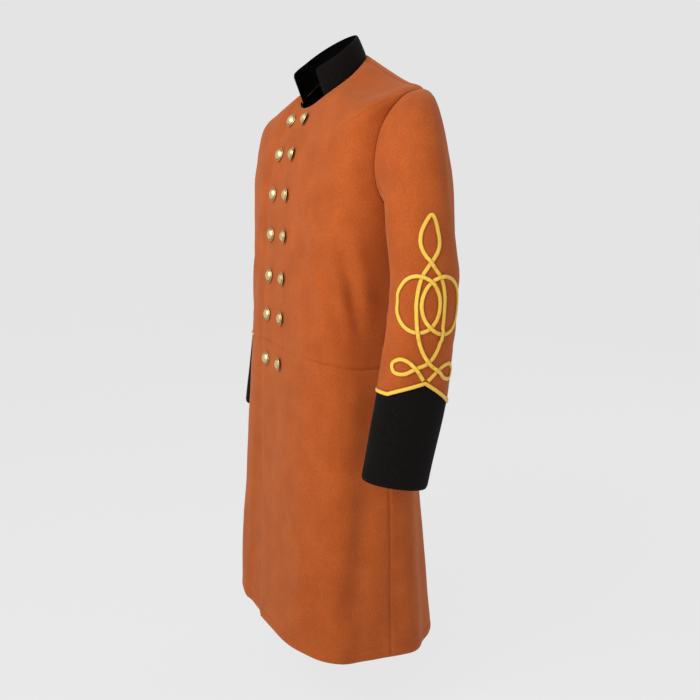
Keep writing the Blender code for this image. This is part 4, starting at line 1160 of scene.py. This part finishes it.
brass = bpy.data.materials.new("worn stamped brass")
brass.use_nodes = True
brass_place = add_node(brass, "TexCoord").outputs["Object"]
brass_spots = add_node(brass, "TexNoise", {"Vector": brass_place, "Scale": 260.0, "Detail": 4.0})
brass_tarnish = add_node(brass, "Attribute", attribute_name="groove")
brass_wear = {0: brass_spots.outputs["Fac"], 1: 0.45, 2: brass_tarnish.outputs["Fac"]}
brass_dirt = add_node(brass, "Math", brass_wear, operation="MULTIPLY_ADD")
brass_tone = add_node(brass, "ValToRGB", {"Fac": brass_dirt.outputs[0]})
brass_tone.color_ramp.elements[0].position = 0.18
brass_tone.color_ramp.elements[0].color = colour("e0c68e")
brass_tone.color_ramp.elements[1].position = 0.95
brass_tone.color_ramp.elements[1].color = colour("5e431c")
brass_range = {"Value": brass_dirt.outputs[0], "From Min": 0.1, "From Max": 1.0, "To Min": 0.24, "To Max": 0.6}
brass_gloss = add_node(brass, "MapRange", brass_range)
brass_surface = brass.node_tree.nodes["Principled BSDF"]
brass.node_tree.links.new(brass_tone.outputs["Color"], brass_surface.inputs["Base Color"])
brass.node_tree.links.new(brass_gloss.outputs[0], brass_surface.inputs["Roughness"])
brass_surface.inputs["Metallic"].default_value = 1.0

# Columns: radius and height in millimetres, and how dark the groove is there.
BUTTON_PROFILE = (
    (2.2, 0.4, 0.9),
    (3.4, 0.4, 0.9),
    (3.5, 2.2, 0.9),
    (10.9, 2.2, 0.7),
    (11.6, 2.5, 0.3),
    (11.8, 3.0, 0.0),
    (11.6, 3.6, 0.0),
    (11.0, 3.9, 0.1),
    (10.4, 3.6, 0.8),
    (10.0, 3.5, 1.0),
    (9.6, 3.8, 0.7),
    (8.8, 4.8, 0.15),
    (7.4, 6.2, 0.0),
    (5.4, 7.6, 0.0),
    (3.4, 8.5, 0.0),
    (1.6, 8.9, 0.0),
    (0.5, 9.0, 0.0),
)
bpy.ops.object.select_all(action="DESELECT")
shank = BUTTON_PROFILE[0][0] / 1000
bpy.ops.mesh.primitive_circle_add(vertices=BUTTON_SIDES, radius=shank, fill_type="NGON", location=(0, 0, 0))
pattern = bpy.context.object
bpy.ops.object.mode_set(mode="EDIT")
bpy.ops.mesh.select_all(action="SELECT")
bpy.ops.transform.translate(value=(0, 0, BUTTON_PROFILE[0][1] / 1000))
for (radius, height, _), (next_radius, next_height, _) in zip(BUTTON_PROFILE, BUTTON_PROFILE[1:]):
    rise = {"value": (0, 0, (next_height - height) / 1000)}
    bpy.ops.mesh.extrude_region_move(TRANSFORM_OT_translate=rise)
    bpy.ops.transform.resize(value=(next_radius / radius, next_radius / radius, 1), center_override=(0, 0, 0))
bpy.ops.object.mode_set(mode="OBJECT")
groove = pattern.data.attributes.new("groove", "FLOAT", "POINT")
for vertex in pattern.data.vertices:
    gaps = [math.hypot(vertex.co.xy.length * 1000 - r, vertex.co.z * 1000 - h) for r, h, _ in BUTTON_PROFILE]
    groove.data[vertex.index].value = BUTTON_PROFILE[int(np.argmin(gaps))][2]
pattern.data.shade_smooth()
pattern.data.set_sharp_from_angle(angle=math.radians(55))
pattern.data.materials.append(brass)
for number, height in enumerate(BUTTON_HEIGHTS, 1):
    for side, side_name in SIDES:
        x = side * BUTTON_ROW_X
        row = bisect(0.0, len(RINGS) - 1.0, lambda r: body_points(turn_of_x(x, r), r)[2] - height)
        turn = turn_of_x(x, row)
        point, normal = body_points(turn, row), body_normals(turn, row)
        down = skirt_sink(turn, point) if height < WAIST_Z[0] else 0.0
        point = point - normal * (relief(point, BODY_LINES) + down)
        lean = BUTTON_LEANS[number - 1] * side
        point, normal = point + normal * BUTTON_SLACK, unit(normal - np.array([lean, 0.0, 0.06 * lean]))
        upright = unit(np.cross(np.cross(normal, [0.0, 0.0, 1.0]), normal))
        sideways = np.cross(upright, normal)
        turned = Matrix(np.stack([sideways, upright, normal], 1)).to_4x4()
        piece = bpy.data.objects.new(f"brass_button_{side_name}_{number}", pattern.data.copy())
        piece.data.transform(Matrix.Translation(Vector(point)) @ turned)
        bpy.context.scene.collection.objects.link(piece)
        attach(piece, "root")
        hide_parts(f"button_{side_name}_{number}")
bpy.data.objects.remove(pattern, do_unlink=True)
